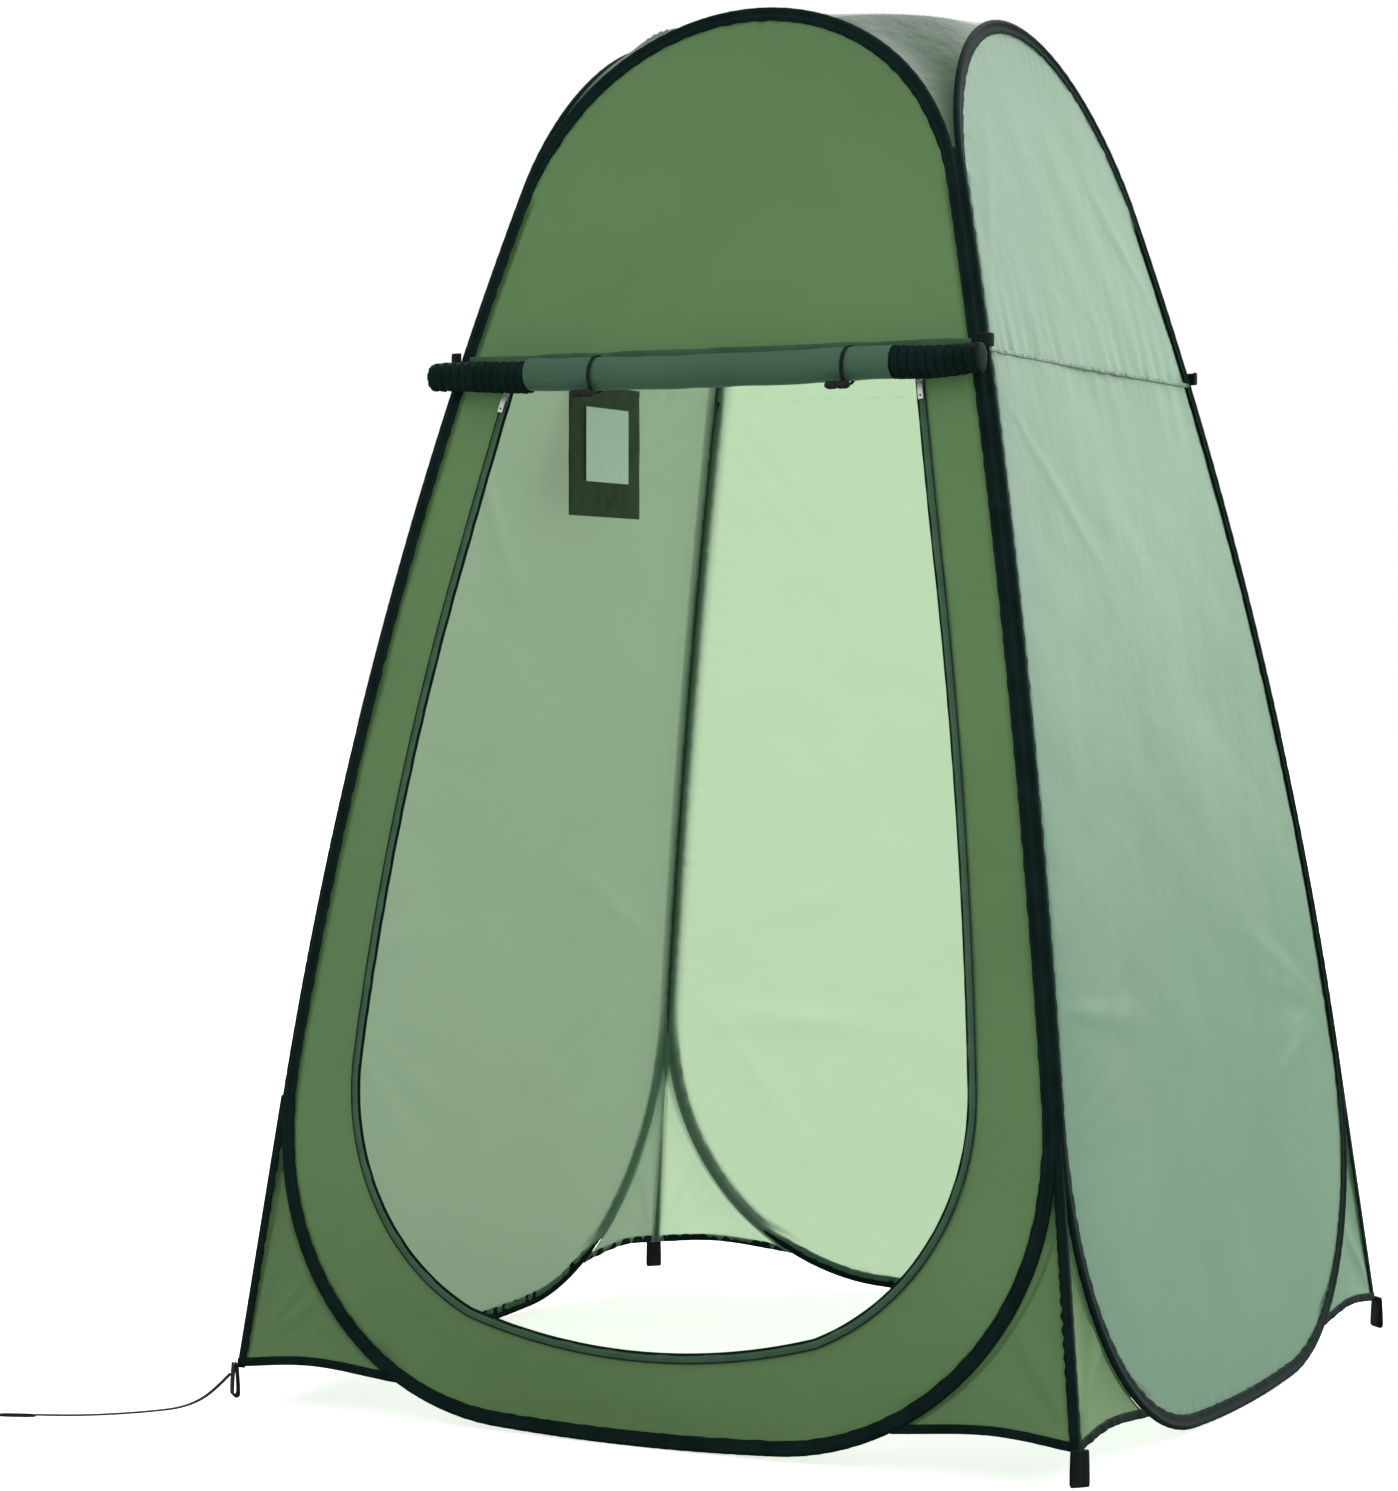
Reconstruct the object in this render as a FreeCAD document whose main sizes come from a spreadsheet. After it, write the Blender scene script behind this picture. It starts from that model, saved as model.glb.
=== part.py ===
"""Pop-up privacy shower tent: four spring-steel hoops, one per wall, joined at the corners.

Frame: millimetres, +Z up, origin on the ground under the middle of the tent.
The doorway faces -Y.  Every wall is built as the front one and turned about Z into its place.
The two hoops of a corner run side by side along the corner seam, which is an arc in the
corner's diagonal plane.  Below the knee and above the crown each hoop leaves the seam and
turns through two tangent arcs in its own leaning plane.
"""
import FreeCAD, Part
import math
import os
import Sketcher
from collections import namedtuple

V = FreeCAD.Vector
UP = V(0, 0, 1)

# ---------------------------------------------------------------- driving dimensions (mm)
SIZES = [
    ("total_height", 1900), ("knee_half_width", 562), ("knee_height", 430),
    ("crown_half_width", 323), ("crown_height", 1666), ("seam_bulge", 23),
    ("foot_bend", 379), ("arch_bend", 268), ("hoop_pitch", 9), ("open_corner_gap", 12),
    ("sleeve_diameter", 9), ("sleeve_bore", 5.2), ("wire_diameter", 3.2), ("wire_end_gap", 1.2),
    ("ferrule_diameter", 4.6), ("ferrule_length", 40), ("cloth", 1.2), ("stitch_gap", 0.6),
    ("shoulder_height", 1415), ("corner_height", 50), ("hem_width", 12), ("hem_thickness", 2.4),
    ("hem_inner_half_width", 250), ("binding_diameter", 5),
    ("door_top_half_width", 298), ("door_top_height", 1395), ("door_straight_height", 1165),
    ("door_straight_half_width", 345), ("door_mid_half_width", 418), ("door_mid_height", 741),
    ("door_wide_half_width", 445), ("door_wide_height", 480), ("door_turn_half_width", 384),
    ("door_turn_height", 262), ("door_low_half_width", 250), ("door_low_height", 155),
    ("door_sill_height", 119),
    ("zip_tape_width", 12), ("zip_tape_thickness", 1.4),
    ("slider_length", 14), ("slider_width", 10), ("slider_thickness", 2.75),
    ("slider_drop", 22), ("slider_lift", 1.6), ("zip_travel", 240),
    ("ear_gap", 4.8), ("ear_thickness", 1.6), ("ear_height", 4.4), ("ear_margin", 1.2),
    ("pin_diameter", 1.5), ("pin_lift", 1.9), ("pin_height", 3.2),
    ("pull_length", 28), ("pull_width", 7), ("pull_thickness", 1.6), ("pull_eye_radius", 1.7),
    ("pull_neck_width", 3.6), ("pull_neck_length", 7), ("pull_hole_radius", 1.6),
    ("pull_hole_inset", 5),
    ("roll_radius", 24), ("roll_height", 1398), ("roll_standoff", 30), ("roll_left", 259),
    ("roll_right", 281), ("roll_binding_radius", 22.5), ("roll_binding_left", 414),
    ("roll_binding_right", 405),
    ("band_width", 16), ("band_thickness", 1.6), ("band_half_width", 374),
    ("loop_radius", 25.6), ("loop_thickness", 2.4), ("loop_left", 157), ("loop_right", 216),
    ("toggle_length", 34), ("toggle_radius", 5.5), ("toggle_tip_radius", 3.4),
    ("toggle_waist_radius", 4), ("toggle_taper", 4), ("toggle_groove", 5),
    ("toggle_standoff", 36), ("toggle_angle", 50), ("toggle_left", 167), ("toggle_right", 210),
    ("pocket_width", 220), ("pocket_depth", 14), ("pocket_tall", 190), ("pocket_wall", 1.2),
    ("pocket_gap", 1.6), ("pocket_offset", 23), ("pocket_base", 1222),
    ("sheet_width", 130), ("sheet_tall", 109), ("sheet_thickness", 1), ("card_lift", 52),
    ("tab_width", 24), ("tab_length", 42), ("tab_thickness", 2.4), ("tab_slot_width", 14),
    ("tab_slot_length", 26), ("tab_slot_drop", 8), ("skirt_drop", 20),
    ("shoulder_tab_width", 26), ("shoulder_tab_length", 18),
    ("shoulder_tab_thickness", 2), ("shoulder_tab_outset", 12), ("shoulder_tab_top", 20),
    ("roof_top_height", 1868), ("roof_top_half_width", 246), ("roof_top_cut", 96),
    ("roof_corner_low", 288), ("roof_corner_low_height", 1690), ("roof_corner_gap", 6),
    ("strap_diameter", 7), ("strap_loop_length", 50), ("strap_loop_width", 13),
    ("strap_loop_thickness", 3), ("strap_loop_edge", 3), ("strap_loop_lift", 1),
]

doc = FreeCAD.newDocument("privacy_tent")
sheet = doc.addObject("Spreadsheet::Sheet", "sizes")
for row, (alias, value) in enumerate(SIZES, start=1):
    sheet.set("A%d" % row, alias)
    sheet.set("B%d" % row, str(value))
    sheet.setAlias("B%d" % row, alias)
doc.recompute()
S = namedtuple("Sizes", [alias for alias, _ in SIZES])(
    *[float(sheet.get(alias)) for alias, _ in SIZES])

# The turn about Z that carries the front wall to each wall, and each corner's own turn.
WALLS = {"front": 0, "right": 90, "back": 180, "left": 270}
CORNERS = {"front_right": 0, "back_right": 90, "back_left": 180, "front_left": 270}
HALF_PITCH = S.hoop_pitch / 2
REACH = 900  # a block this deep or wide from the axis takes in a whole wall
BELOW, BEYOND = -20, 20  # how far cutting blocks run past the ground and the top
BLOCK = 60  # a cutting block's depth and height about a hoop's foot
NODES = []


# ---------------------------------------------------------------- document helpers
def keep(obj, name):
    """Mark a document object as a sub-part: its label is its node's name."""
    obj.Label = name
    NODES.append(obj)
    return obj


def feature(name, shape, placement=None):
    obj = doc.addObject("Part::Feature", name)
    obj.Shape = shape
    if placement is not None:
        obj.Placement = placement.multiply(obj.Placement)
    return obj


def turned(angle, shift=V(0, 0, 0)):
    return FreeCAD.Placement(shift, FreeCAD.Rotation(UP, angle))


def primitive(kind, name, placement, **bound):
    """A Part primitive whose sizes follow the sheet's cells."""
    obj = doc.addObject(kind, name)
    for prop, expression in bound.items():
        obj.setExpression(prop, expression)
    obj.Placement = placement
    return obj


def boolean(kind, name, base, tool):
    obj = doc.addObject(kind, name)
    obj.Base, obj.Tool = base, tool
    return obj


def group(name, parts):
    obj = doc.addObject("Part::Compound", name)
    obj.Links = parts
    return obj


# ---------------------------------------------------------------- the seam and the hoops
class Seam:
    """The corner seam: an arc in the diagonal plane, between the knee and the crown."""

    def __init__(self):
        root = math.sqrt(2)
        low = (S.knee_half_width * root, S.knee_height)
        high = (S.crown_half_width * root, S.crown_height)
        chord = math.dist(low, high)
        bulge = S.seam_bulge * root
        self.radius = (chord ** 2 / 4 + bulge ** 2) / (2 * bulge)
        along = ((high[0] - low[0]) / chord, (high[1] - low[1]) / chord)
        out = (along[1], -along[0])
        back = self.radius - bulge
        self.centre = tuple((a + b) / 2 - n * back for a, b, n in zip(low, high, out))
        self.root = root
        self.knee_slope = self.slope(S.knee_height)
        self.crown_slope = self.slope(S.crown_height)

    def on_arc(self, z):
        reach = math.sqrt(self.radius ** 2 - (z - self.centre[1]) ** 2)
        return (self.centre[0] + reach) / self.root

    def slope(self, z):
        reach = math.sqrt(self.radius ** 2 - (z - self.centre[1]) ** 2)
        return -(z - self.centre[1]) / reach / self.root

    def half_width(self, z):
        """Half the tent's width, corner seam to corner seam, at a height."""
        if z < S.knee_height:
            return S.knee_half_width + self.knee_slope * (z - S.knee_height)
        if z > S.crown_height:
            return S.crown_half_width + self.crown_slope * (z - S.crown_height)
        return self.on_arc(z)


seam = Seam()


def wall_distance(z):
    """How far the wall stands from the tent's axis at a height."""
    return seam.half_width(z) + HALF_PITCH


def lean_angle(z):
    """How far the wall leans inwards at a height, in degrees."""
    step = 1.0
    rise = wall_distance(z + step) - wall_distance(z - step)
    return math.degrees(math.atan2(-rise, 2 * step))


def two_arcs(start_x, slope, first_radius, end, sign):
    """Two tangent arcs in a hoop's leaning plane, from (start_x, 0) to (0, end).

    The first leaves along the seam's slope, the second ends level on the wall's middle line.
    Each arc is given by three points.
    """
    size = math.hypot(slope, 1.0)
    out = V(sign * 1.0, -sign * slope, 0) / size
    inward = out * -sign
    first = V(start_x, 0, 0) + inward * first_radius
    drop = first.y - end
    second_radius = ((first_radius ** 2 - first.x ** 2 - drop ** 2)
                     / (2 * (sign * drop + first_radius)))
    second = V(0, end - sign * second_radius, 0)
    away = (first - second).normalize()
    if second_radius < first_radius:
        away = away * -1
    meet = first + away * first_radius
    middle = ((V(start_x, 0, 0) - first).normalize() + (meet - first).normalize()).normalize()
    low_middle = ((meet - second).normalize() + V(0, sign, 0)).normalize()
    return [[V(start_x, 0, 0), first + middle * first_radius, meet],
            [meet, second + low_middle * second_radius, V(0, end, 0)]]


def hoop_arcs(inset):
    """The right half of a hoop as three-point arcs, from the foot's middle to the arch's."""
    margin = S.sleeve_diameter / 2

    def leaning(slope, height):
        tilt = math.hypot(slope, 1.0)
        distance = wall_distance(height)

        def place(p):
            return V(p.x, -(distance + slope * p.y / tilt), height + p.y / tilt)
        return place, tilt

    low_place, low_tilt = leaning(seam.knee_slope, S.knee_height)
    high_place, high_tilt = leaning(seam.crown_slope, S.crown_height)
    knee_x = S.knee_half_width - HALF_PITCH - inset
    crown_x = S.crown_half_width - HALF_PITCH - inset
    foot = two_arcs(knee_x, seam.knee_slope / low_tilt, S.foot_bend,
                    (margin - S.knee_height) * low_tilt, -1)
    arch = two_arcs(crown_x, seam.crown_slope / high_tilt, S.arch_bend,
                    (S.total_height - margin - S.crown_height) * high_tilt, 1)
    middle = (S.knee_height + S.crown_height) / 2
    rise = [V(seam.half_width(z) - HALF_PITCH - inset, -wall_distance(z), z)
            for z in (S.knee_height, middle, S.crown_height)]
    foot_arcs = [[low_place(p) for p in reversed(arc)] for arc in reversed(foot)]
    arch_arcs = [[high_place(p) for p in arc] for arc in arch]
    return foot_arcs + [rise] + arch_arcs


def wire_of(arcs):
    return Part.Wire([Part.Arc(*arc).toShape() for arc in arcs])


def swept(path, diameter):
    """A round bar along a path of tangent arcs."""
    start = path.Edges[0]
    first, last = start.ParameterRange
    end = start.valueAt(first)
    tangent = start.tangentAt(first)
    if path.OrderedVertexes[0].Point.distanceToPoint(end) > 0.01:
        end, tangent = start.valueAt(last), start.tangentAt(last) * -1
    ring = Part.Wire(Part.makeCircle(diameter / 2, end, tangent))
    return path.makePipeShell([ring], True, False)


def both_sides(half):
    other = half.mirror(V(0, 0, 0), V(1, 0, 0))
    return half.fuse(other).removeSplitter()


def hoop_pieces(name, inset, placement):
    """The spring wire, its crimped ferrule and the cloth sleeve that they run in."""
    arcs = hoop_arcs(inset)
    path = wire_of(arcs)
    bore = swept(path, S.sleeve_bore)
    sleeve = both_sides(swept(path, S.sleeve_diameter).cut(bore))
    bar = both_sides(swept(path, S.wire_diameter))

    def block(width):
        corner = V(-width / 2, arcs[0][0].y - BLOCK / 2, BELOW)
        return Part.makeBox(width, BLOCK, BLOCK, corner)
    bar = bar.cut(block(S.wire_end_gap))
    foot = wire_of([arcs[0]])
    ferrule = both_sides(swept(foot, S.ferrule_diameter).cut(swept(foot, S.wire_diameter)))
    keep(feature("hoop_wire_" + name, bar, placement), "hoop_wire_" + name)
    keep(feature("hoop_ferrule_" + name, ferrule.common(block(S.ferrule_length)), placement),
         "hoop_ferrule_" + name)
    keep(feature("hoop_sleeve_" + name, sleeve, placement), "hoop_sleeve_" + name)


# ---------------------------------------------------------------- cloth of the walls
def wall_band(inner, outer):
    """The bowed layer of a wall between two offsets from its hoop's own surface."""
    heights = [BELOW, S.knee_height, (S.knee_height + S.crown_height) / 2, S.crown_height,
               S.total_height + BEYOND]

    def rail(offset):
        points = []
        for z in heights:
            tilt = math.radians(lean_angle(z))
            points.append(V(-REACH, -(wall_distance(z) + offset * math.cos(tilt)),
                            z + offset * math.sin(tilt)))
        low, knee, middle, crown, high = points
        return ([Part.LineSegment(low, knee).toShape(), Part.Arc(knee, middle, crown).toShape(),
                 Part.LineSegment(crown, high).toShape()], low, high)
    near, near_low, near_high = rail(inner)
    far, far_low, far_high = rail(outer)
    ends = [Part.LineSegment(near_low, far_low).toShape(),
            Part.LineSegment(near_high, far_high).toShape()]
    edges = Part.__sortEdges__(near + far + ends)
    return Part.Face(Part.Wire(edges)).extrude(V(2 * REACH, 0, 0))


def prism(edges):
    """A flat outline in the XZ plane made into a block that reaches forward from the axis."""
    face = Part.Face(Part.Wire(Part.__sortEdges__(edges)))
    return face.extrude(V(0, -REACH, 0))


def hoop_outline(inset, offset):
    """The hoop's outline seen from the front, moved outwards by an offset."""
    edges = []
    for arc in hoop_arcs(inset):
        flat = [V(p.x, 0, p.z) for p in arc]
        curve = Part.Arc(*flat).toShape().Curve
        moved = []
        for p in flat:
            radial = (p - curve.Center).normalize()
            moved.append(p + radial * offset)
        if abs(flat[0].x) < 0.01:
            moved[0].x = 0
        if abs(flat[-1].x) < 0.01:
            moved[-1].x = 0
        edges.append(moved)
    for before, after in zip(edges, edges[1:]):
        after[0] = before[-1]
    mirrored = [[V(-p.x, p.y, p.z) for p in arc] for arc in edges]
    return [Part.Arc(*arc).toShape() for arc in edges + mirrored]


# The way the doorway's outline faces at its lower turn and beside its sill, as X and -Z.
TURN_FACING = (0.8, 0.6)
LOW_FACING = (0.3, 1.0)


def door_edges(grow=0.0):
    """The doorway's egg-shaped outline, grown by a margin; its top is the shoulder's hem."""
    side = [(S.door_top_half_width, S.door_top_height),
            (S.door_straight_half_width, S.door_straight_height),
            (S.door_mid_half_width, S.door_mid_height),
            (S.door_wide_half_width, S.door_wide_height),
            (S.door_turn_half_width, S.door_turn_height),
            (S.door_low_half_width, S.door_low_height)]
    side = [V(x + grow, 0, z) for x, z in side[:4]] + [
        V(x + grow * out, 0, z - grow * down)
        for (x, z), (out, down) in zip(side[4:], (TURN_FACING, LOW_FACING))]
    sill = V(0, 0, S.door_sill_height - grow)
    left = [V(-p.x, 0, p.z) for p in side]
    edges = []
    for line in (side, left):
        edges.append(Part.LineSegment(line[0], line[1]).toShape())
        edges.append(Part.Arc(line[1], line[2], line[3]).toShape())
        edges.append(Part.Arc(line[3], line[4], line[5]).toShape())
    edges.append(Part.Arc(side[5], sill, left[5]).toShape())
    edges.append(Part.LineSegment(left[0], side[0]).toShape())
    return edges


def above(z):
    return Part.makeBox(2 * REACH, 2 * REACH, 2 * REACH, V(-REACH, -2 * REACH, z))


def cloth_wall(name, inset, placement):
    """A wall's cloth inside its hoop: an upper and a lower panel that meet at the shoulder."""
    inner_edge = -(S.sleeve_diameter / 2 + S.stitch_gap)
    whole = wall_band(-S.cloth / 2, S.cloth / 2).common(prism(hoop_outline(inset, inner_edge)))
    upper = whole.common(above(S.shoulder_height + S.stitch_gap / 2))
    lower = whole.cut(above(S.shoulder_height - S.stitch_gap / 2))
    if name == "front":
        blocks = [feature("front_lower_cloth", lower),
                  feature("doorway_block", prism(door_edges()))]
        surround = boolean("Part::Cut", "door_surround", *blocks)
        keep(surround, "door_surround")
        keep(feature("gable_front", upper, placement), "gable_front")
        return
    keep(feature("wall_lower_" + name, lower, placement), "wall_lower_" + name)
    keep(feature("wall_upper_" + name, upper, placement), "wall_upper_" + name)


# ---------------------------------------------------------------- corner cloth
def corner_line(z):
    """The corner seam's distance from either mid-plane below the knee."""
    return seam.half_width(z) + HALF_PITCH


def skirt_half(low, high, inner, outer, inset):
    """Half of a corner's skirt, in the front wall's plane on its right."""
    edge = S.binding_diameter / 2 + S.stitch_gap
    corners = [V(corner_line(low) - edge, 0, low), V(corner_line(high) - edge, 0, high),
               V(S.hem_inner_half_width, 0, high), V(S.hem_inner_half_width, 0, low)]
    edges = [Part.LineSegment(a, b).toShape() for a, b in zip(corners, corners[1:] + corners[:1])]
    outline = hoop_outline(inset, S.sleeve_diameter / 2 + S.stitch_gap)
    half = wall_band(inner, outer).common(prism(edges)).cut(prism(outline))
    return max(half.Solids, key=lambda solid: solid.Volume)


def to_next_wall(shape):
    """Carry a piece on the front wall's right to the right wall's front."""
    turned_shape = shape.mirror(V(0, 0, 0), V(1, 0, 0))
    turned_shape.Placement = turned(90).multiply(turned_shape.Placement)
    return turned_shape


def corner_cloth(name, placement):
    """One corner: a skirt of two halves, their hems, a seam binding and its webbing loops."""
    top = S.knee_height - S.skirt_drop
    hem_top = S.corner_height + S.hem_width
    for label, low, high, thick in (("gusset_", hem_top + S.stitch_gap, top, S.cloth),
                                    ("hem_", S.corner_height, hem_top, S.hem_thickness)):
        half = skirt_half(low, high, -thick / 2, thick / 2, 0)
        parts = [feature(label + name + "_a", half, placement),
                 feature(label + name + "_b", to_next_wall(half), placement)]
        keep(group(label + name, parts), label + name)
    foot = V(corner_line(S.corner_height), -corner_line(S.corner_height), S.corner_height)
    head = V(corner_line(top), -corner_line(top), top)
    run = head - foot
    binding = primitive("Part::Cylinder", "corner_binding_" + name,
                        placement.multiply(FreeCAD.Placement(foot, FreeCAD.Rotation(UP, run))),
                        Radius="sizes.binding_diameter / 2")
    binding.Height = run.Length
    keep(binding, "corner_binding_" + name)
    peg_loop(name, placement, foot)
    shoulder_tab(name, placement)


def webbing_tab(name, width, length, thickness, slot=None):
    """A flat webbing piece in its own frame: hanging down -Z, facing -Y."""
    body = doc.addObject("PartDesign::Body", name)
    plane = [f for f in body.Origin.OriginFeatures if f.Role == "XZ_Plane"][0]
    sketch = body.newObject("Sketcher::SketchObject", name + "_outline")
    sketch.AttachmentSupport = (plane, [""])
    sketch.MapMode = "FlatFace"
    rectangle(sketch, width, length, 0)
    pad = body.newObject("PartDesign::Pad", name + "_pad")
    pad.Profile = sketch
    pad.Midplane = True
    pad.setExpression("Length", "sizes." + thickness)
    if slot:
        hole = body.newObject("Sketcher::SketchObject", name + "_slot")
        hole.AttachmentSupport = (plane, [""])
        hole.MapMode = "FlatFace"
        rectangle(hole, slot[0], slot[1], S.tab_slot_drop)
        pocket = body.newObject("PartDesign::Pocket", name + "_pocket")
        pocket.Profile = hole
        pocket.Midplane = True
        pocket.setExpression("Length", "sizes." + thickness + " * 4")
    return body


def rectangle(sketch, width, length, drop):
    """A rectangle centred on X that hangs from -drop down, bound to two cells.

    It is drawn 10 wide and 8 tall, and the constraints then give it its sizes.
    """
    corners = [V(-5, -drop - 1, 0), V(5, -drop - 1, 0), V(5, -drop - 9, 0), V(-5, -drop - 9, 0)]
    lines = [sketch.addGeometry(Part.LineSegment(a, b), False)
             for a, b in zip(corners, corners[1:] + corners[:1])]
    rule = Sketcher.Constraint
    for first, second in zip(lines, lines[1:] + lines[:1]):
        sketch.addConstraint(rule("Coincident", first, 2, second, 1))
    for line, kind in zip(lines[1:], ("Vertical", "Horizontal", "Vertical")):
        sketch.addConstraint(rule(kind, line))
    sketch.addConstraint(rule("Symmetric", lines[0], 1, lines[0], 2, -2))
    across = sketch.addConstraint(rule("DistanceX", lines[0], 1, lines[0], 2, 10))
    down = sketch.addConstraint(rule("DistanceY", lines[1], 2, lines[1], 1, 8))
    sketch.addConstraint(rule("DistanceY", lines[0], 1, -1, 1, drop + 1e-3))
    sketch.setExpression("Constraints[%d]" % across, "sizes." + width)
    sketch.setExpression("Constraints[%d]" % down, "sizes." + length)


def peg_loop(name, placement, foot):
    """The webbing loop below a ground corner, facing outwards on the diagonal."""
    body = webbing_tab("peg_loop_" + name, "tab_width", "tab_length", "tab_thickness",
                       ("tab_slot_width", "tab_slot_length"))
    out = V(1, -1, 0).normalize() * (S.binding_diameter / 2 + S.tab_thickness)
    seat = FreeCAD.Placement(foot + out, FreeCAD.Rotation(UP, 45))
    body.Placement = placement.multiply(seat)
    keep(body, "peg_loop_" + name)


def shoulder_tab(name, placement):
    """The small webbing patch that ties two sleeves together at the shoulder."""
    body = webbing_tab("shoulder_tab_" + name, "shoulder_tab_width", "shoulder_tab_length",
                       "shoulder_tab_thickness")
    distance = seam.half_width(S.shoulder_height)
    out = V(1, -1, 0).normalize() * S.shoulder_tab_outset
    top = V(distance, -distance, S.shoulder_height + S.shoulder_tab_top)
    tilt = FreeCAD.Rotation(UP, 45).multiply(
        FreeCAD.Rotation(V(1, 0, 0), -lean_angle(S.shoulder_height)))
    body.Placement = placement.multiply(FreeCAD.Placement(top + out, tilt))
    keep(body, "shoulder_tab_" + name)


# ---------------------------------------------------------------- roof
def roof():
    """The flat top between the arches, and a three-sided piece in each corner below it."""
    half, cut, z = S.roof_top_half_width, S.roof_top_cut, S.roof_top_height
    ring = []
    for turn in range(4):
        for x, y in ((-(half - cut), -half), (half - cut, -half)):
            ring.append(FreeCAD.Rotation(UP, 90 * turn).multVec(V(x, y, z)))
    top = Part.Face(Part.makePolygon(ring + ring[:1])).extrude(UP * S.cloth)
    keep(feature("roof_top", top), "roof_top")
    gap = S.roof_corner_gap
    for name, angle in CORNERS.items():
        low = S.roof_corner_low
        corner = [V(half - cut, -half, z - gap), V(half, -(half - cut), z - gap),
                  V(low, -low, S.roof_corner_low_height)]
        face = Part.Face(Part.makePolygon(corner + corner[:1]))
        normal = face.normalAt(0, 0)
        if normal.z < 0:
            normal = normal * -1
        keep(feature("roof_corner_" + name, face.extrude(normal * S.cloth), turned(angle)),
             "roof_corner_" + name)


# ---------------------------------------------------------------- doorway hardware
def on_front(x, z, offset):
    """A point at an offset outside the front wall, measured square to the wall."""
    tilt = math.radians(lean_angle(z))
    return V(x, -(wall_distance(z) + offset * math.cos(tilt)), z + offset * math.sin(tilt))


def leaning_front(x, z, offset, roll=0.0):
    """A placement on the front wall: local Z up the slope, local -Y outwards."""
    tilt = FreeCAD.Rotation(V(1, 0, 0), -lean_angle(z))
    return FreeCAD.Placement(on_front(x, z, offset),
                             tilt.multiply(FreeCAD.Rotation(V(0, 1, 0), roll)))


def header_band():
    """The doubled band across the shoulder that the rolled door hangs from."""
    seat = leaning_front(-S.band_half_width, S.shoulder_height, S.cloth / 2 + S.stitch_gap
                         + S.band_thickness)
    band = primitive("Part::Box", "header_band", seat, Length="sizes.band_half_width * 2",
                     Width="sizes.band_thickness", Height="sizes.band_width")
    keep(band, "header_band")


ZIP_TAPE_OVERRUN = 5  # the tape's ends run this far past the doorway's top
TAPE_LIFT = 0.1  # clearance of the zip's tape from the wall
PIN_PLAY = 0.05  # clearance of the pull's eye about the slider's pin


def zip_tape():
    """The zip's tape around the doorway, sewn on the outside, open at the top."""
    layer_start = S.cloth / 2 + TAPE_LIFT
    layer = wall_band(layer_start, layer_start + S.zip_tape_thickness)
    ring = prism(door_edges(S.zip_tape_width)).cut(prism(door_edges()))
    tape = layer.common(ring).cut(above(S.door_top_height + ZIP_TAPE_OVERRUN))
    keep(feature("zip_tape", tape), "zip_tape")


def rolled_door():
    """The door, rolled up under the band, with the wound edge binding at both ends."""
    y = -(wall_distance(S.roll_height) + S.roll_standoff)
    along = FreeCAD.Rotation(V(0, 1, 0), 90)

    def bar(name, x, radius, length):
        seat = FreeCAD.Placement(V(x, y, S.roll_height), along)
        return primitive("Part::Cylinder", name, seat, Radius=radius, Height=length)

    roll = bar("door_roll", -S.roll_left, "sizes.roll_radius",
               "sizes.roll_left + sizes.roll_right")
    keep(roll, "door_roll")
    ends = [bar("roll_binding_a", -S.roll_binding_left, "sizes.roll_binding_radius",
                "sizes.roll_binding_left - sizes.roll_left"),
            bar("roll_binding_b", S.roll_right, "sizes.roll_binding_radius",
                "sizes.roll_binding_right - sizes.roll_right")]
    keep(group("roll_edge_bindings", ends), "roll_edge_bindings")
    loops = []
    for side, x in (("a", -S.loop_left), ("b", S.loop_right)):
        seat = FreeCAD.Placement(V(x, y, S.roll_height), along)
        loops.append(primitive("Part::Torus", "roll_loop_" + side, seat,
                               Radius1="sizes.loop_radius", Radius2="sizes.loop_thickness / 2"))
    keep(group("roll_loops", loops), "roll_loops")
    down = math.radians(S.toggle_angle)
    for side, x in (("left", -S.toggle_left), ("right", S.toggle_right)):
        middle = V(x, y - S.toggle_standoff * math.cos(down),
                   S.roll_height - S.toggle_standoff * math.sin(down))
        toggle("toggle_" + side, middle)


def toggle(name, middle):
    """A waisted toggle lying along X: a turned barrel with a groove for its cord."""
    length, groove = S.toggle_length / 2, S.toggle_groove / 2
    half = [V(groove, S.toggle_radius, 0), V(length - S.toggle_taper, S.toggle_radius, 0),
            V(length, S.toggle_tip_radius, 0), V(length, 0, 0)]
    other = [V(-p.x, p.y, 0) for p in reversed(half)]
    side = other + [V(0, S.toggle_waist_radius, 0)] + half
    face = Part.Face(Part.makePolygon(side + side[:1]))
    shape = face.revolve(V(0, 0, 0), V(1, 0, 0), 360)
    keep(feature(name, shape, FreeCAD.Placement(middle, FreeCAD.Rotation())), name)


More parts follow.
